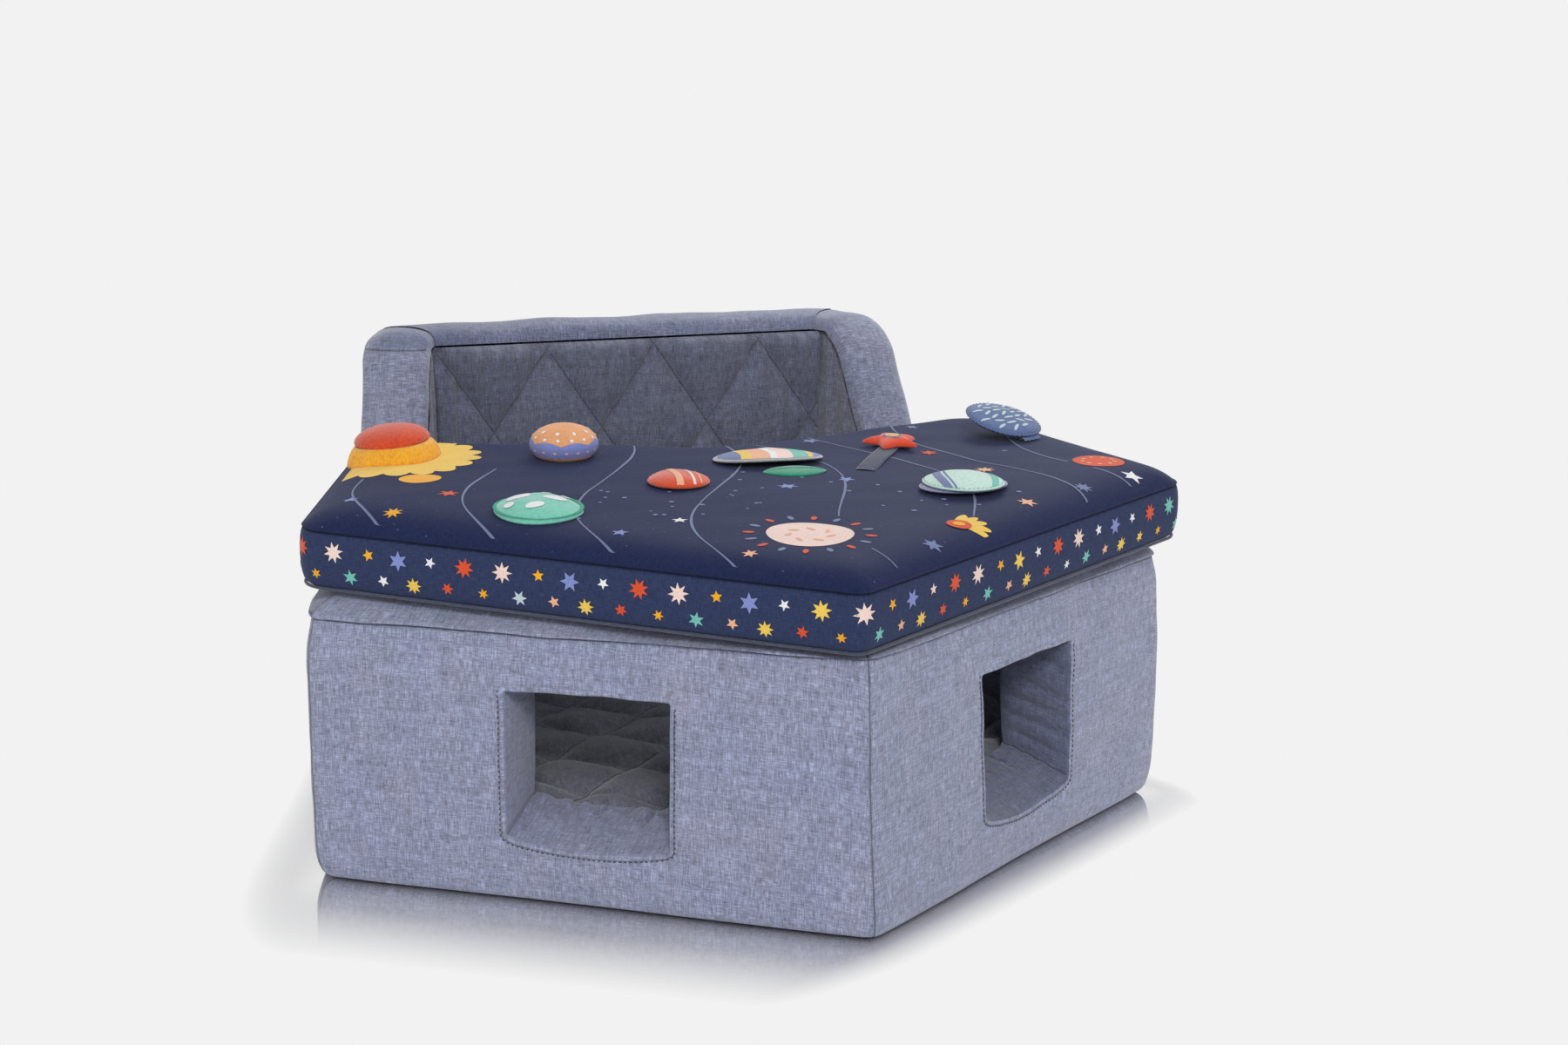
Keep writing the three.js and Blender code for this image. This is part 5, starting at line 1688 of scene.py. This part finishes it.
def big_dome():
    matrix = toy_matrix(-0.234, 0.400, 0, 0.034)
    loops = 76

    def fringe(angle, f):
        ridge = np.abs(np.sin(angle * loops / 2 + 0.5 * np.sin(angle * 9)))
        return (0.0007 * ridge + 0.0004 * np.sin(angle * 23 + 1)) * math.sin(math.pi * min(f * 1.15, 1))

    def pucker(angle, f):
        gathers = 0.00035 * np.sin(angle * 34 + np.sin(angle * 5)) * max(0, 1 - f * 3.2)
        return gathers + 0.0004 * np.sin(3 * angle + 1) * (1 - f)

    nodes = ["big_dome_band"]
    dome("big_dome_fringe", FRINGE_PROFILE, loops * 8, matrix, loop_cloth, nodes, fringe)
    cap = [(0.0262, 0.0092), (0.0278, 0.0100), (0.0283, 0.0108)]
    for i in range(1, 22):
        a = math.pi / 2 * i / 21.4
        cap.append((0.0283 * math.cos(a) ** 0.95, 0.0110 + 0.0112 * math.sin(a)))
    dome("big_dome_top", cap, 168, matrix, dome_cloth, ["big_dome_cap"], pucker, 0.001)
    sheet = Print()
    centre = to_tray(*FLOWER)
    t = 2 * math.pi * np.arange(240) / 240
    reach = 0.054 + 0.009 * np.abs(np.cos(t * 9)) ** 0.7
    flower = np.stack([reach * np.cos(t), reach * np.sin(t)], -1)
    points, faces = disc_mesh(flower + centre, centre, 12)
    share = rim_share(points[:, 0], points[:, 1])
    over = share > 0.972
    points[over] = middle + (points[over] - middle) * (0.972 / share[over])[:, None]
    sheet.add(on_top(points), faces, "yellow")
    sheet.on_tray("flower_print", "tray_top")


def small_dome():
    matrix = toy_matrix(-0.114, 0.353, 0, 0.0255)
    profile = [(0.0178, 0.0), (0.0206, 0.0012), (0.0232, 0.0036), (0.0249, 0.0070), (0.0255, 0.0104)]
    for i in range(1, 22):
        a = math.pi / 2 * i / 21.4
        profile.append((0.0255 * math.cos(a) ** 0.96, 0.0106 + 0.0146 * math.sin(a)))

    def sway(angle, f):
        return 0.0005 * np.sin(2 * angle + 0.6) * (1 - f)

    def soft(angle, f):
        return sway(angle, f) + 0.0002 * np.sin(angle * 26) * max(0, 1 - 6 * f)

    dome("small_dome_body", profile, 120, matrix, peach_cloth, ["small_dome"], soft, 0.012)
    heights, reaches = [p[1] for p in profile], [p[0] for p in profile]
    sheet = Print()

    def skin(angle, z):
        f = np.interp(z, heights, np.linspace(0, 1, len(profile)))
        reach = np.interp(z, heights, reaches) + sway(angle, f) + 0.0003
        return np.stack([reach * np.cos(angle), reach * np.sin(angle), z + 0 * angle], -1)

    angle = 2 * math.pi * np.arange(241) / 240
    crest = 0.0128 + 0.0026 * np.abs(np.sin(angle * 3.5 + 0.4))
    rows = [skin(angle, 0.0034 + (crest - 0.0034) * share) for share in np.linspace(0, 1, 12)]
    sheet.add(np.concatenate(rows), grid_faces(12, 241), "violet")
    for ring, (z, count) in enumerate(((0.0078, 18), (0.0172, 14), (0.0212, 9))):
        for i in range(count):
            turn = 2 * math.pi * (i + 0.5 * ring) / count
            flat, faces = disc_mesh(blob(0.0026, 0.0022, count=12), np.zeros(2), 1)
            reach = np.interp(z, heights, reaches)
            points = skin(turn + flat[:, 0] / reach, z + flat[:, 1] * 0.8)
            points[:, :2] *= 1 + 0.0003 / reach
            sheet.add(points, faces, "white" if ring else "peach")
    sheet.on_toy("small_dome_scallops", "tray", matrix)
    t = 2 * math.pi * np.arange(160) / 160
    path = np.column_stack([0.0180 * np.cos(t), 0.0180 * np.sin(t), 0.0016 + 0 * t])
    normal = np.column_stack([np.cos(t), np.sin(t), 0.2 + 0 * t])
    size = {"length": 0.003, "gap": 0.0008}
    stitched("small_dome_stitch", path, normal, matrix, threads["grey"], "tray", "small_dome", **size)


def mint_patch():
    matrix = toy_matrix(-0.172, 0.200, 0, 0.031)
    pad = Pad(0.062, 0.066, 0.010, edge=0.16, power=2.0, fall=0.8, seed=31)
    body = pad.body("mint_patch_pad", matrix, felt["mint"])
    local = np.array([v.co for v in body.data.vertices])
    body.data.vertices.foreach_set("co", sit_on_tray(local, matrix, 0.009).ravel())
    body.data.update()
    dress(body, "tray", ["mint_patch"])
    sheet = Print()
    for x, y, w, d, a in (
        (-0.012, 0.009, 0.020, 0.012, 0.5), (0.011, -0.003, 0.017, 0.011, -0.4), (-0.006, -0.014, 0.014, 0.009, 0.2),
        (0.010, 0.015, 0.010, 0.007, 0.9), (0.021, 0.006, 0.007, 0.006, 0), (-0.022, -0.004, 0.007, 0.008, 0),
    ):
        pad.lay(sheet, blob(w, d, a, 30), (x, y), "white")
    sheet.on_toy("mint_patch_spots", "tray", matrix)
    size = {"length": 0.0009, "gap": 0.0003, "cross": 0.0034, "radius": 0.0005}
    sewn_edge("mint_patch_stitch", pad, 0.975, matrix, "mint", "tray", "mint_patch", 160, 0.0002, **size)


def hinge_tab(name, matrix, rest, width, mat, back=0.0034):
    """The strip that sews a flap's edge to the tray."""
    flat = turned(matrix, "x", rest * DEG)
    columns = 25
    x = np.linspace(-width / 2, width / 2, columns)
    pull = 0.0002 * np.sin(x * 2 * math.pi / 0.005)
    front = [(-0.0020, 0.0001), (-0.0018, 0.0010), (-0.0006, 0.0015)]
    profile = front + [(0.4 * back, 0.0013), (back - 0.0004, 0.0006), (back, -0.0004)]
    rows = [np.column_stack([x, y + 0 * x, z + pull]) for y, z in profile]
    obj = make_object(name, np.concatenate(rows), grid_faces(len(rows), columns), mat)
    place(obj, flat)
    dress(obj, "tray")


def striped(pad, name, slot, body, matrix, stripes, **look):
    """Bands of several inks across a pad, as one piece."""
    sheet = Print()
    for start, end, ink, bend in stripes:
        pad.stripe(sheet, start, end, ink, bend=bend, **look)
    sheet.on_toy(name, body, matrix)


def coral_flap():
    matrix = flap_matrix(-0.056, 0.272, 0.048, 0, 2)
    centre = shifted(matrix, (0, -0.024, 0))
    pad = Pad(0.045, 0.048, 0.009, edge=0.22, power=2.2, fall=0.7, seed=41)
    dress(pad.body("coral_flap_pad", centre, felt["coral"]), "coral_flap", ["coral_flap"])
    stripes = [(-0.34, -0.12, "peach", 0.002), (0.20, 0.30, "pink", 0.002), (0.48, 0.54, "peach", 0.002)]
    striped(pad, "coral_flap_stripes", "coral_flap", "coral_flap", centre, stripes)
    sewn_edge("coral_flap_stitch", pad, 0.96, centre, "coral", "coral_flap", "coral_flap", length=0.0022)
    hinge_tab("coral_flap_tab", matrix, 2, 0.018, felt["coral"])


def striped_flap():
    matrix = flap_matrix(0.032, 0.330, 0.060, -4, 6)
    centre = shifted(matrix, (0, -0.030, 0))
    pad = Pad(0.084, 0.060, 0.005, edge=0.36, power=2.2, fall=0.75, seed=43, droop=0.0022)
    dress(pad.body("striped_flap_pad", centre, felt["grey"]), "striped_flap", ["striped_flap"])
    bands = [
        (-0.93, -0.62, "slate"), (-0.62, -0.44, "yellow"), (-0.44, -0.12, "peach"), (-0.12, 0.0, "white"),
        (0.0, 0.30, "pink"), (0.30, 0.62, "mint"), (0.62, 0.72, "yellow"), (0.72, 0.93, "violet"),
    ]
    stripes = [(*band, 0.003) for band in bands]
    striped(pad, "striped_flap_bands", "striped_flap", "striped_flap", centre, stripes, scale=0.93)
    sewn_edge("striped_flap_stitch", pad, 0.955, centre, "grey", "striped_flap", "striped_flap", length=0.0024)
    hinge_tab("striped_flap_tab", matrix, 6, 0.034, felt["grey"])


def leaf_tab():
    matrix = flap_matrix(0.038, 0.273, 0.030, -6, 1)
    centre = shifted(matrix, (0, -0.015, 0))
    t = 2 * math.pi * np.arange(96) / 96
    outline = np.stack([0.024 * np.cos(t), 0.015 * np.sin(t) * np.abs(np.sin(t)) ** 0.35], -1)
    rows = []
    for share in np.sin(np.linspace(0.02, 1, 14) * math.pi / 2):
        height = 0.004 * (0.36 + 0.64 * (1 - share ** 2.6) ** 0.6)
        groove = 0.0010 * np.exp(-(outline[:, 1] * share / 0.0011) ** 2) * (share < 0.9)
        rows.append(np.column_stack([outline * share, height - groove]))
    rows += [level(outline * 0.96, 0.0003), level(outline * 0.02, 0.0001)]
    obj = capped("leaf_tab_body", rows, felt["green"], centre)
    dress(obj, "green_leaf_tab", ["green_leaf_tab"])
    points, all_faces = [], []
    for k in (-1, 1):
        for i in range(5):
            x0 = -0.012 + 0.006 * i
            reach = k * 0.0070 * (1 - 0.08 * i)
            line = [(x0 + 0.0036 * s, reach * s, 0.0037 - 0.0008 * s) for s in np.linspace(0.15, 1, 4)]
            loop = line + line[::-1]
            p, f = thread_run(loop, upright(len(loop)), 0.002, 0.0006)
            all_faces += [tuple(len(points) + v for v in face) for face in f]
            points += p
    veins = place(make_object("leaf_tab_veins", points, all_faces, threads["green"]), centre)
    dress(veins, "green_leaf_tab")
    hinge_tab("leaf_tab_hinge", matrix, 1, 0.012, felt["green"])


def mint_flap():
    matrix = flap_matrix(0.147, 0.216, 0.064, -12, 2)
    centre = shifted(matrix, (0, -0.032, 0))
    askew = turned(centre, "z", 24 * DEG)
    backing = Pad(0.070, 0.050, 0.0020, edge=0.8, lumps=0.0001, seed=51)
    backing_body = backing.body("mint_flap_backing_felt", askew, felt["violet"])
    dress(backing_body, "mint_flap", ["mint_flap_backing"])
    sewn_edge("mint_backing_stitch", backing, 0.95, askew, "violet", "mint_flap", "mint_flap_backing", length=0.0022)
    above = shifted(centre, (0, 0, 0.0023))
    pad = Pad(0.060, 0.064, 0.008, edge=0.2, power=2.0, fall=0.8, seed=53)
    dress(pad.body("mint_flap_top", above, felt["pale_mint"]), "mint_flap", ["mint_flap_pad"])
    stripes = [(-0.62, -0.42, "slate", -0.003), (-0.36, -0.31, "slate", -0.003), (0.52, 0.70, "mint", 0.004)]
    striped(pad, "mint_flap_bands", "mint_flap_pad", "mint_flap", above, stripes)
    sewn_edge("mint_flap_stitch", pad, 0.955, above, "mint", "mint_flap", "mint_flap_pad", length=0.0022)
    hinge_tab("mint_flap_tab", matrix, 2, 0.026, felt["violet"], 0.0019)


def blue_pillow():
    matrix = flap_matrix(0.255, 0.324, 0.058, 207, 15)
    centre = shifted(matrix, (0, -0.029, 0))
    pad = Pad(0.057, 0.055, 0.009, edge=0.35, power=2.2, fall=0.55, lumps=0.0006, seed=61)
    body = pad.body("blue_pillow_body", centre, blue_cloth, 0.0008, 48)
    dress(body, "blue_pillow", ["blue_pillow"])
    sheet = Print()
    for row, y in enumerate(np.linspace(-0.020, 0.020, 7)):
        half = 0.0265 * math.sqrt(max(1 - (y / 0.0262) ** 2, 0))
        count = max(int(half * 2 / 0.0105), 1)
        for i in range(count):
            x = (i - (count - 1) / 2) * 0.0105 + (0.002 if row % 2 else -0.002)
            if math.hypot(x / 0.0275, y / 0.0265) < 0.86:
                pad.lay(sheet, blob(0.0088, 0.0026, 0.5 * math.sin(row * 2.0 + i), 20), (x, y), "pale", 2)
    sheet.on_toy("blue_pillow_dashes", "blue_pillow", centre)
    size = {"count": 160, "lift": 0.0003, "length": 0.0024}
    sewn_edge("blue_pillow_stitch", pad, 0.985, centre, "blue", "blue_pillow", "blue_pillow", **size)
    hinge_tab("blue_pillow_tab", matrix, 15, 0.020, blue_cloth)


def ribbon_strip(hinge):
    """The tape, sewn to the tray at its near end."""
    x = np.linspace(-0.001, 0.097, 70)
    wave = 0.0009 * np.sin(math.pi * np.clip(x / 0.07, 0, 1)) ** 2
    top, low = [], []
    for u in np.linspace(-1, 1, 9):
        y = u * 0.0075 * (1 + 0.02 * np.sin(x * 140))
        rib = 0.00012 * math.cos(u * 9 * math.pi)
        top.append(np.column_stack([x, y, wave + 0.0014 + rib - 0.0002 * abs(u) ** 6]))
        low.append(np.column_stack([x, y, wave * 0.6 + 0.0002]))
    last = 17 * 70
    faces = grid_faces(18, 70) + [(i, i + 1, last + i + 1, last + i) for i in range(69)]
    obj = make_object("ribbon_strip", np.concatenate(top + low[::-1]), faces, ribbon_cloth)
    fix_normals(obj)
    place(obj, hinge)
    dress(obj, "ribbon", ["toy_ribbon"])
    box_path = [(0.003, -0.006, 0.0017), (0.003, 0.006, 0.0017), (0.010, 0.006, 0.0018), (0.010, -0.006, 0.0018)]
    stitched(
        "ribbon_stitch", box_path, upright(4), hinge, threads["violet"], "ribbon", "toy_ribbon", length=0.0018
    )


def star_height(share):
    return STAR_T * (0.30 + 0.70 * (1 - share ** 2.4) ** 0.6)


def star_toy(centre):
    outline = star_outline(STAR_R, 0.0132, 5)
    fine = []
    for i in range(10):
        a, b = outline[i], outline[(i + 1) % 10]
        fine += [a + (b - a) * t for t in np.linspace(0, 1, 8, endpoint=False)]
    fine = np.array(fine)
    for _ in range(2):
        fine = (np.roll(fine, 1, 0) + 2 * fine + np.roll(fine, -1, 0)) / 4

    def crown(share):
        tip = np.linalg.norm(fine, axis=1) * share / STAR_R
        return star_height(share) - 0.0010 * tip ** 2

    rows = [np.column_stack([fine * share, crown(share)]) for share in DOME_SHARES]
    rows += [level(fine * 1.01, 0.0012), level(fine * 0.96, 0.0003), level(fine * 0.02, 0.0001)]
    obj = capped("star_body", rows, felt["red"], centre)
    dress(obj, "star_toy", ["star_toy"])
    path = np.column_stack([fine * 0.93, crown(0.93) + 0.0001])
    stitched(
        "star_stitch", path, upright(len(fine)), centre, threads["red"], "star_toy", "star_toy", length=0.002
    )
    sheet = Print()
    for k, (size, ink) in enumerate(((0.0150, "slate"), (0.0108, "yellow"), (0.0068, "peach"))):
        flat, patch_faces = disc_mesh(blob(size, size, count=36), np.zeros(2), 4)
        z = star_height(np.linalg.norm(flat, axis=1) / 0.0155) + 0.0002 + 0.0002 * k
        sheet.add(np.column_stack([flat, z]), patch_faces, ink)
    sheet.on_toy("star_patch", "star_toy", centre)


def tether():
    yaw = RIBBON_YAW * DEG
    seat = (RIBBON_FOOT[0] + math.cos(yaw) * RIBBON_HALF, RIBBON_FOOT[1] + math.sin(yaw) * RIBBON_HALF)
    hinge = shifted(toy_matrix(*seat, RIBBON_YAW, RIBBON_HALF), (-RIBBON_HALF, 0, 0))
    ribbon_strip(hinge)
    star_toy(turned(shifted(hinge, (0.088, 0, 0.0017)), "z", -yaw))


big_dome()
small_dome()
mint_patch()
coral_flap()
striped_flap()
leaf_tab()
mint_flap()
blue_pillow()
tether()


# Cloth under the seat, with its non-slip dots, and cloth under the tray
def dotted_cloth():
    n = Nodes(bpy.data.materials.new("non_slip_cloth"))
    place_at = n.add("ShaderNodeTexCoord", output="Object")
    dots = n.add("ShaderNodeTexVoronoi", {"Scale": 130, "Randomness": 0.0, "Vector": place_at}, "Distance")
    dot = n.math("LESS_THAN", dots, 0.28)
    grain = n.noise(place_at, 900, 2.0, 0.7)
    colour = n.mix(dot, n.ramp(grain, (0.3, srgb(46, 49, 56)), (0.7, srgb(66, 70, 78))), srgb(24, 25, 28))
    return n.shader(colour, 0.8, n.bump(dot + grain * 0.3, 0.0006, 0.8), 0.1)


def rounded_loop(corners, radius, steps, count):
    """Even points round an outline whose corners are rounded."""
    loop = []
    for i in range(len(corners)):
        loop += round_corner(corners[i - 1], corners[i], corners[(i + 1) % len(corners)], radius, steps)
    return resample(np.array(loop), count)[0]


def seat_underside():
    loop = rounded_loop(pentagon(CORNER_R - 0.0125 / math.sin(54 * DEG)), 0.008, 8, 400)
    profile = [
        (0.02, 0.0001), (0.5, 0.0001), (0.97, 0.0001), (0.99, 0.0003), (1.0, 0.0012), (1.0, 0.0036), (0.99, 0.0042),
        (0.02, 0.0043),
    ]
    rows = [level(loop * share + CENTRE, z) for share, z in profile]
    obj = capped("non_slip_cloth", rows, dotted_cloth())
    dress(obj, "seat_base", ["non_slip_base"])


def tray_underside():
    inner = rim - rim_normal * 0.0064
    profile = [
        (0.01, 0.0009), (0.5, 0.0009), (0.9, 0.0009), (0.985, 0.0008), (1.0, 0.0004), (1.004, 0.0008), (1.0, 0.0016),
        (0.01, 0.0018),
    ]
    rows = [level(middle + (inner - middle) * share, z) for share, z in profile]
    faces = grid_faces(len(rows), len(rim), closed=True) + ring_caps(len(rows), len(rim))
    points = np.concatenate(rows)
    obj = make_object("tray_under_cloth", to_world(TRAY, points), faces, under_cloth, points[:, :2])
    fix_normals(obj)
    dress(obj, "tray", ["tray_bottom_cover"])


# A flat tape between two faces of a box: rounded corners and a raised pile
TAPE_PROFILE = [(0.01, 0), (0.97, 0), (1.0, 0.3), (1.0, 0.55), (0.97, 0.6), (0.85, 0.7)]


def soft_tape(name, node, body, mat, axes, pile_up):
    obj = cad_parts[node]
    points = np.array([obj.matrix_world @ v.co for v in obj.data.vertices])
    centre = (points.max(0) + points.min(0)) / 2
    local = (points - centre) @ axes
    lo, hi = local.min(0), local.max(0)
    half, mid = (hi - lo) / 2, (hi + lo) / 2
    corners = [(-half[0], -half[1]), (half[0], -half[1]), (half[0], half[1]), (-half[0], half[1])]
    loop = rounded_loop(corners, 0.003, 6, 200)
    t = half[2] * 2
    low, high = (-half[2], half[2]) if pile_up else (half[2], -half[2])
    step = np.sign(high - low)
    profile = [(share, low + step * rise * t) for share, rise in TAPE_PROFILE]
    profile += [(0.82, high), (0.4, high), (0.01, high)]
    rows = [level(loop * share + mid[:2], z + mid[2]) @ axes.T + centre for share, z in profile]
    dress(capped(name, rows, mat), body, [node])


def strip_axes(side):
    a = (90 + 18 * side) * DEG
    along = TILTED @ np.array([math.cos(a), math.sin(a), 0])
    up = TILTED @ np.array([0, 0, 1])
    return np.stack([along, np.cross(up, along), up], -1)


hook_cloth = cloth("hook_tape", srgb(38, 40, 47), pile=1.0, sheen=0.3)
loop_tape = cloth("loop_tape", srgb(46, 48, 56), pile=1.0, sheen=0.6)
seat_underside()
tray_underside()
for side, name in ((1, "right"), (-1, "left")):
    axes = strip_axes(side)
    soft_tape(name + "_loop_tape", name + "_loop_strip", "seat_base", loop_tape, axes, True)
    soft_tape(name + "_hook_tape", name + "_hook_strip", "tray", hook_cloth, axes, False)


# Zip across the foot of the back: tape, two rows of teeth, slider with its pull
ZIP_Z = 0.034
ZIP_TEETH = 208


def zip_tape(mat):
    lo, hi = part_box("back_zip_tape")
    x = np.linspace(lo.x, hi.x, 160)
    profile = [(lo.z, lo.y + 0.0003), (lo.z + 0.0005, lo.y + 0.0010), (lo.z + 0.0048, hi.y - 0.0004)]
    profile += [(ZIP_Z - 0.0009, hi.y), (ZIP_Z + 0.0009, hi.y), (hi.z - 0.0048, hi.y - 0.0004)]
    profile += [(hi.z - 0.0005, lo.y + 0.0010), (hi.z, lo.y + 0.0003)]
    rows = [np.column_stack([x, y + 0.0001 * np.sin(x * 700), z + 0 * x]) for z, y in profile]
    tape = make_object("zip_tape_cloth_strip", np.concatenate(rows), grid_faces(len(rows), 160), mat)
    fix_outward(tape, (0, 1, 0))
    dress(tape, "seat_base", ["back_zip_tape"])
    points, faces = [], []
    for i in range(ZIP_TEETH):
        centre = lo.x + 0.004 + i * (hi.x - lo.x - 0.008) / (ZIP_TEETH - 1)
        shift = 0.0011 if i % 2 else -0.0011
        start = len(points)
        for y, shrink in ((hi.y - 0.0002, 1.0), (hi.y + 0.0009, 0.7)):
            for dx, dz in ((-1, -1), (1, -1), (1, 1), (-1, 1)):
                points.append((centre + dx * 0.00055 * shrink, y, ZIP_Z + shift + dz * 0.0017 * shrink))
        box = ((4, 5, 6, 7), (0, 1, 5, 4), (1, 2, 6, 5), (2, 3, 7, 6), (3, 0, 4, 7))
        faces += [tuple(start + v for v in f) for f in box]
    teeth = make_object("zip_teeth", points, faces, mat)
    teeth.data.polygons.foreach_set("use_smooth", [False] * len(teeth.data.polygons))
    fix_normals(teeth)
    dress(teeth, "seat_base")


def upright_ring(ring, y):
    """A ring in the plane of the back, at a depth."""
    return np.column_stack([ring[:, 0], np.full(len(ring), y), ring[:, 1]])


def zip_slider(mat):
    lo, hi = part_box("back_zip_slider")
    cx, cz = (lo.x + hi.x) / 2, (lo.z + hi.z) / 2
    half = [hi.x - cx, hi.z - cz]
    body = blob(hi.x - lo.x, hi.z - lo.z, count=48)
    squared = np.sign(body) * np.abs(body / half) ** 0.6 * half
    profile = [(0.02, 0), (0.9, 0), (1.0, 0.0005), (1.0, 0.0012), (0.86, 0.0018), (0.5, 0.0021), (0.02, 0.0022)]
    rows = [upright_ring(squared * share + [cx, cz], lo.y + y) for share, y in profile]
    dress(capped("zip_slider_body", rows, mat), "zip_slider", ["back_zip_slider"])
    outer, inner = blob(0.0095, 0.0052, count=40), blob(0.0042, 0.0024, count=40) + [0.0018, 0]
    rows = [
        upright_ring(ring + [cx + 0.0012, cz], lo.y + 0.0024 + y)
        for ring, y in ((outer, 0.0), (outer * 0.97, 0.0008), (inner, 0.0008), (inner, 0.0))
    ]
    faces = grid_faces(4, 40, closed=True) + [(3 * 40 + i, 3 * 40 + (i + 1) % 40, (i + 1) % 40, i) for i in range(40)]
    pull = make_object("zip_pull", np.concatenate(rows), faces, mat)
    fix_normals(pull)
    dress(pull, "zip_slider")


zip_tape(cloth("zip_tape_cloth", srgb(44, 47, 58), weave=320))
metal = Nodes(bpy.data.materials.new("slider_metal"))
zip_slider(metal.shader(srgb(150, 152, 158), 0.3, None, 0.0, 1.0))


# Floor and light
FLOOR_Z = -0.0005
MIRROR_SHARE = 0.88
MIRROR_REACH = 0.125
FADE_START = 0.045
FADE_END = 0.140
FADE_RATE = {FRONT_RIGHT: 3.0, RIGHT_SIDE: 4.6, BACK: 2.2, LEFT_SIDE: 2.8, FRONT_LEFT: 1.0}
BACKGROUND = srgb(242, 242, 242)


def foot_distance(n):
    """Distance outside the seat's pentagon, as a shader value; it grows faster beside some walls."""
    place_at = n.add("ShaderNodeNewGeometry", output="Position")
    squares = None
    for k in range(5):
        a = (72 * k - 54) * DEG
        outward = (math.cos(a), math.sin(a), 0)
        along = n.add("ShaderNodeVectorMath", {0: place_at, 1: outward}, "Value", operation="DOT_PRODUCT")
        apothem = CORNER_R * math.cos(36 * DEG) + CENTRE[0] * math.cos(a) + CENTRE[1] * math.sin(a)
        side = n.math("MAXIMUM", (along - apothem) * FADE_RATE[k], 0.0)
        squares = side * side if squares is None else squares + side * side
    return n.math("SQRT", squares)


def stage():
    n = Nodes(bpy.data.materials.new("floor_white"))
    far = foot_distance(n)
    matt = n.add("ShaderNodeBsdfDiffuse", {"Color": srgb(245, 245, 245)})
    gloss = n.add("ShaderNodeBsdfGlossy", {"Color": srgb(243, 243, 243), "Roughness": 0.035})
    facing = n.add("ShaderNodeLayerWeight", output="Facing")
    grazing = n.math("POWER", n.math("DIVIDE", facing, 0.6, clamp=True), 1.5)
    shiny = n.mix_shaders(n.near(far, MIRROR_REACH) * grazing * MIRROR_SHARE, matt, gloss)
    pale = n.add("ShaderNodeEmission", {"Color": BACKGROUND})
    seen = n.add("ShaderNodeLightPath", output="Is Camera Ray")
    away = n.math("DIVIDE", far - FADE_START, FADE_END - FADE_START, clamp=True)
    n.close(n.mix_shaders(n.math("POWER", away, 1.2) * seen, shiny, pale))
    corners = [(-30, -30, FLOOR_Z), (30, -30, FLOOR_Z), (30, 60, FLOOR_Z), (-30, 60, FLOOR_Z)]
    floor = make_object("floor", corners, [(0, 1, 2, 3)], n.owner)
    return floor


def add_light(name, kind, power):
    light = bpy.data.lights.new(name, kind)
    light.energy = power
    obj = bpy.data.objects.new(name, light)
    bpy.context.scene.collection.objects.link(obj)
    return obj, light


def add_softbox(name, location, target, size, power, floor):
    """A square lamp that leaves the floor unlit, so that it isn't mirrored there."""
    obj, light = add_light(name, "AREA", power)
    light.size = size
    obj.location = location
    obj.rotation_euler = (Vector(target) - Vector(location)).to_track_quat("-Z", "Y").to_euler()
    unlit = bpy.data.collections.new(name + "_leaves_out")
    unlit.objects.link(floor)
    unlit.collection_objects[0].light_linking.link_state = "EXCLUDE"
    obj.light_linking.receiver_collection = unlit


def add_sun(name, azimuth, elevation, strength, angle):
    obj, light = add_light(name, "SUN", strength)
    light.angle = angle * DEG
    obj.rotation_euler = ((90 - elevation) * DEG, 0, (90 + azimuth) * DEG)
    obj.visible_glossy = False


def make_world():
    """A studio that lights the object softly, less from above, and looks even and pale."""
    world = bpy.data.worlds.new("studio")
    bpy.context.scene.world = world
    n = Nodes(world, "ShaderNodeOutputWorld")
    camera = n.add("ShaderNodeLightPath", output="Is Camera Ray")
    seen = n.math("MAXIMUM", camera, camera.other("Is Glossy Ray"))
    seen = n.math("MAXIMUM", seen, camera.other("Is Transmission Ray"))
    height = n.split(n.add("ShaderNodeTexCoord", output="Generated"))[2]
    strength = n.add("ShaderNodeMapRange", {"Value": height, "To Min": 0.66, "To Max": 0.36})
    fill = n.add("ShaderNodeBackground", {"Color": (1, 1, 1, 1), "Strength": strength})
    shown = n.add("ShaderNodeBackground", {"Color": BACKGROUND, "Strength": 1.0})
    n.close(n.mix_shaders(seen, fill, shown))


floor_plane = stage()
add_sun("key", azimuth=257, elevation=33, strength=1.3, angle=18)
add_sun("rim", azimuth=60, elevation=48, strength=0.35, angle=30)
add_softbox("sheen", (0.56, 0.70, 0.95), target=(0.22, 0.08, 0.27), size=0.5, power=3.0, floor=floor_plane)
make_world()

bpy.context.scene.view_settings.view_transform = "Standard"
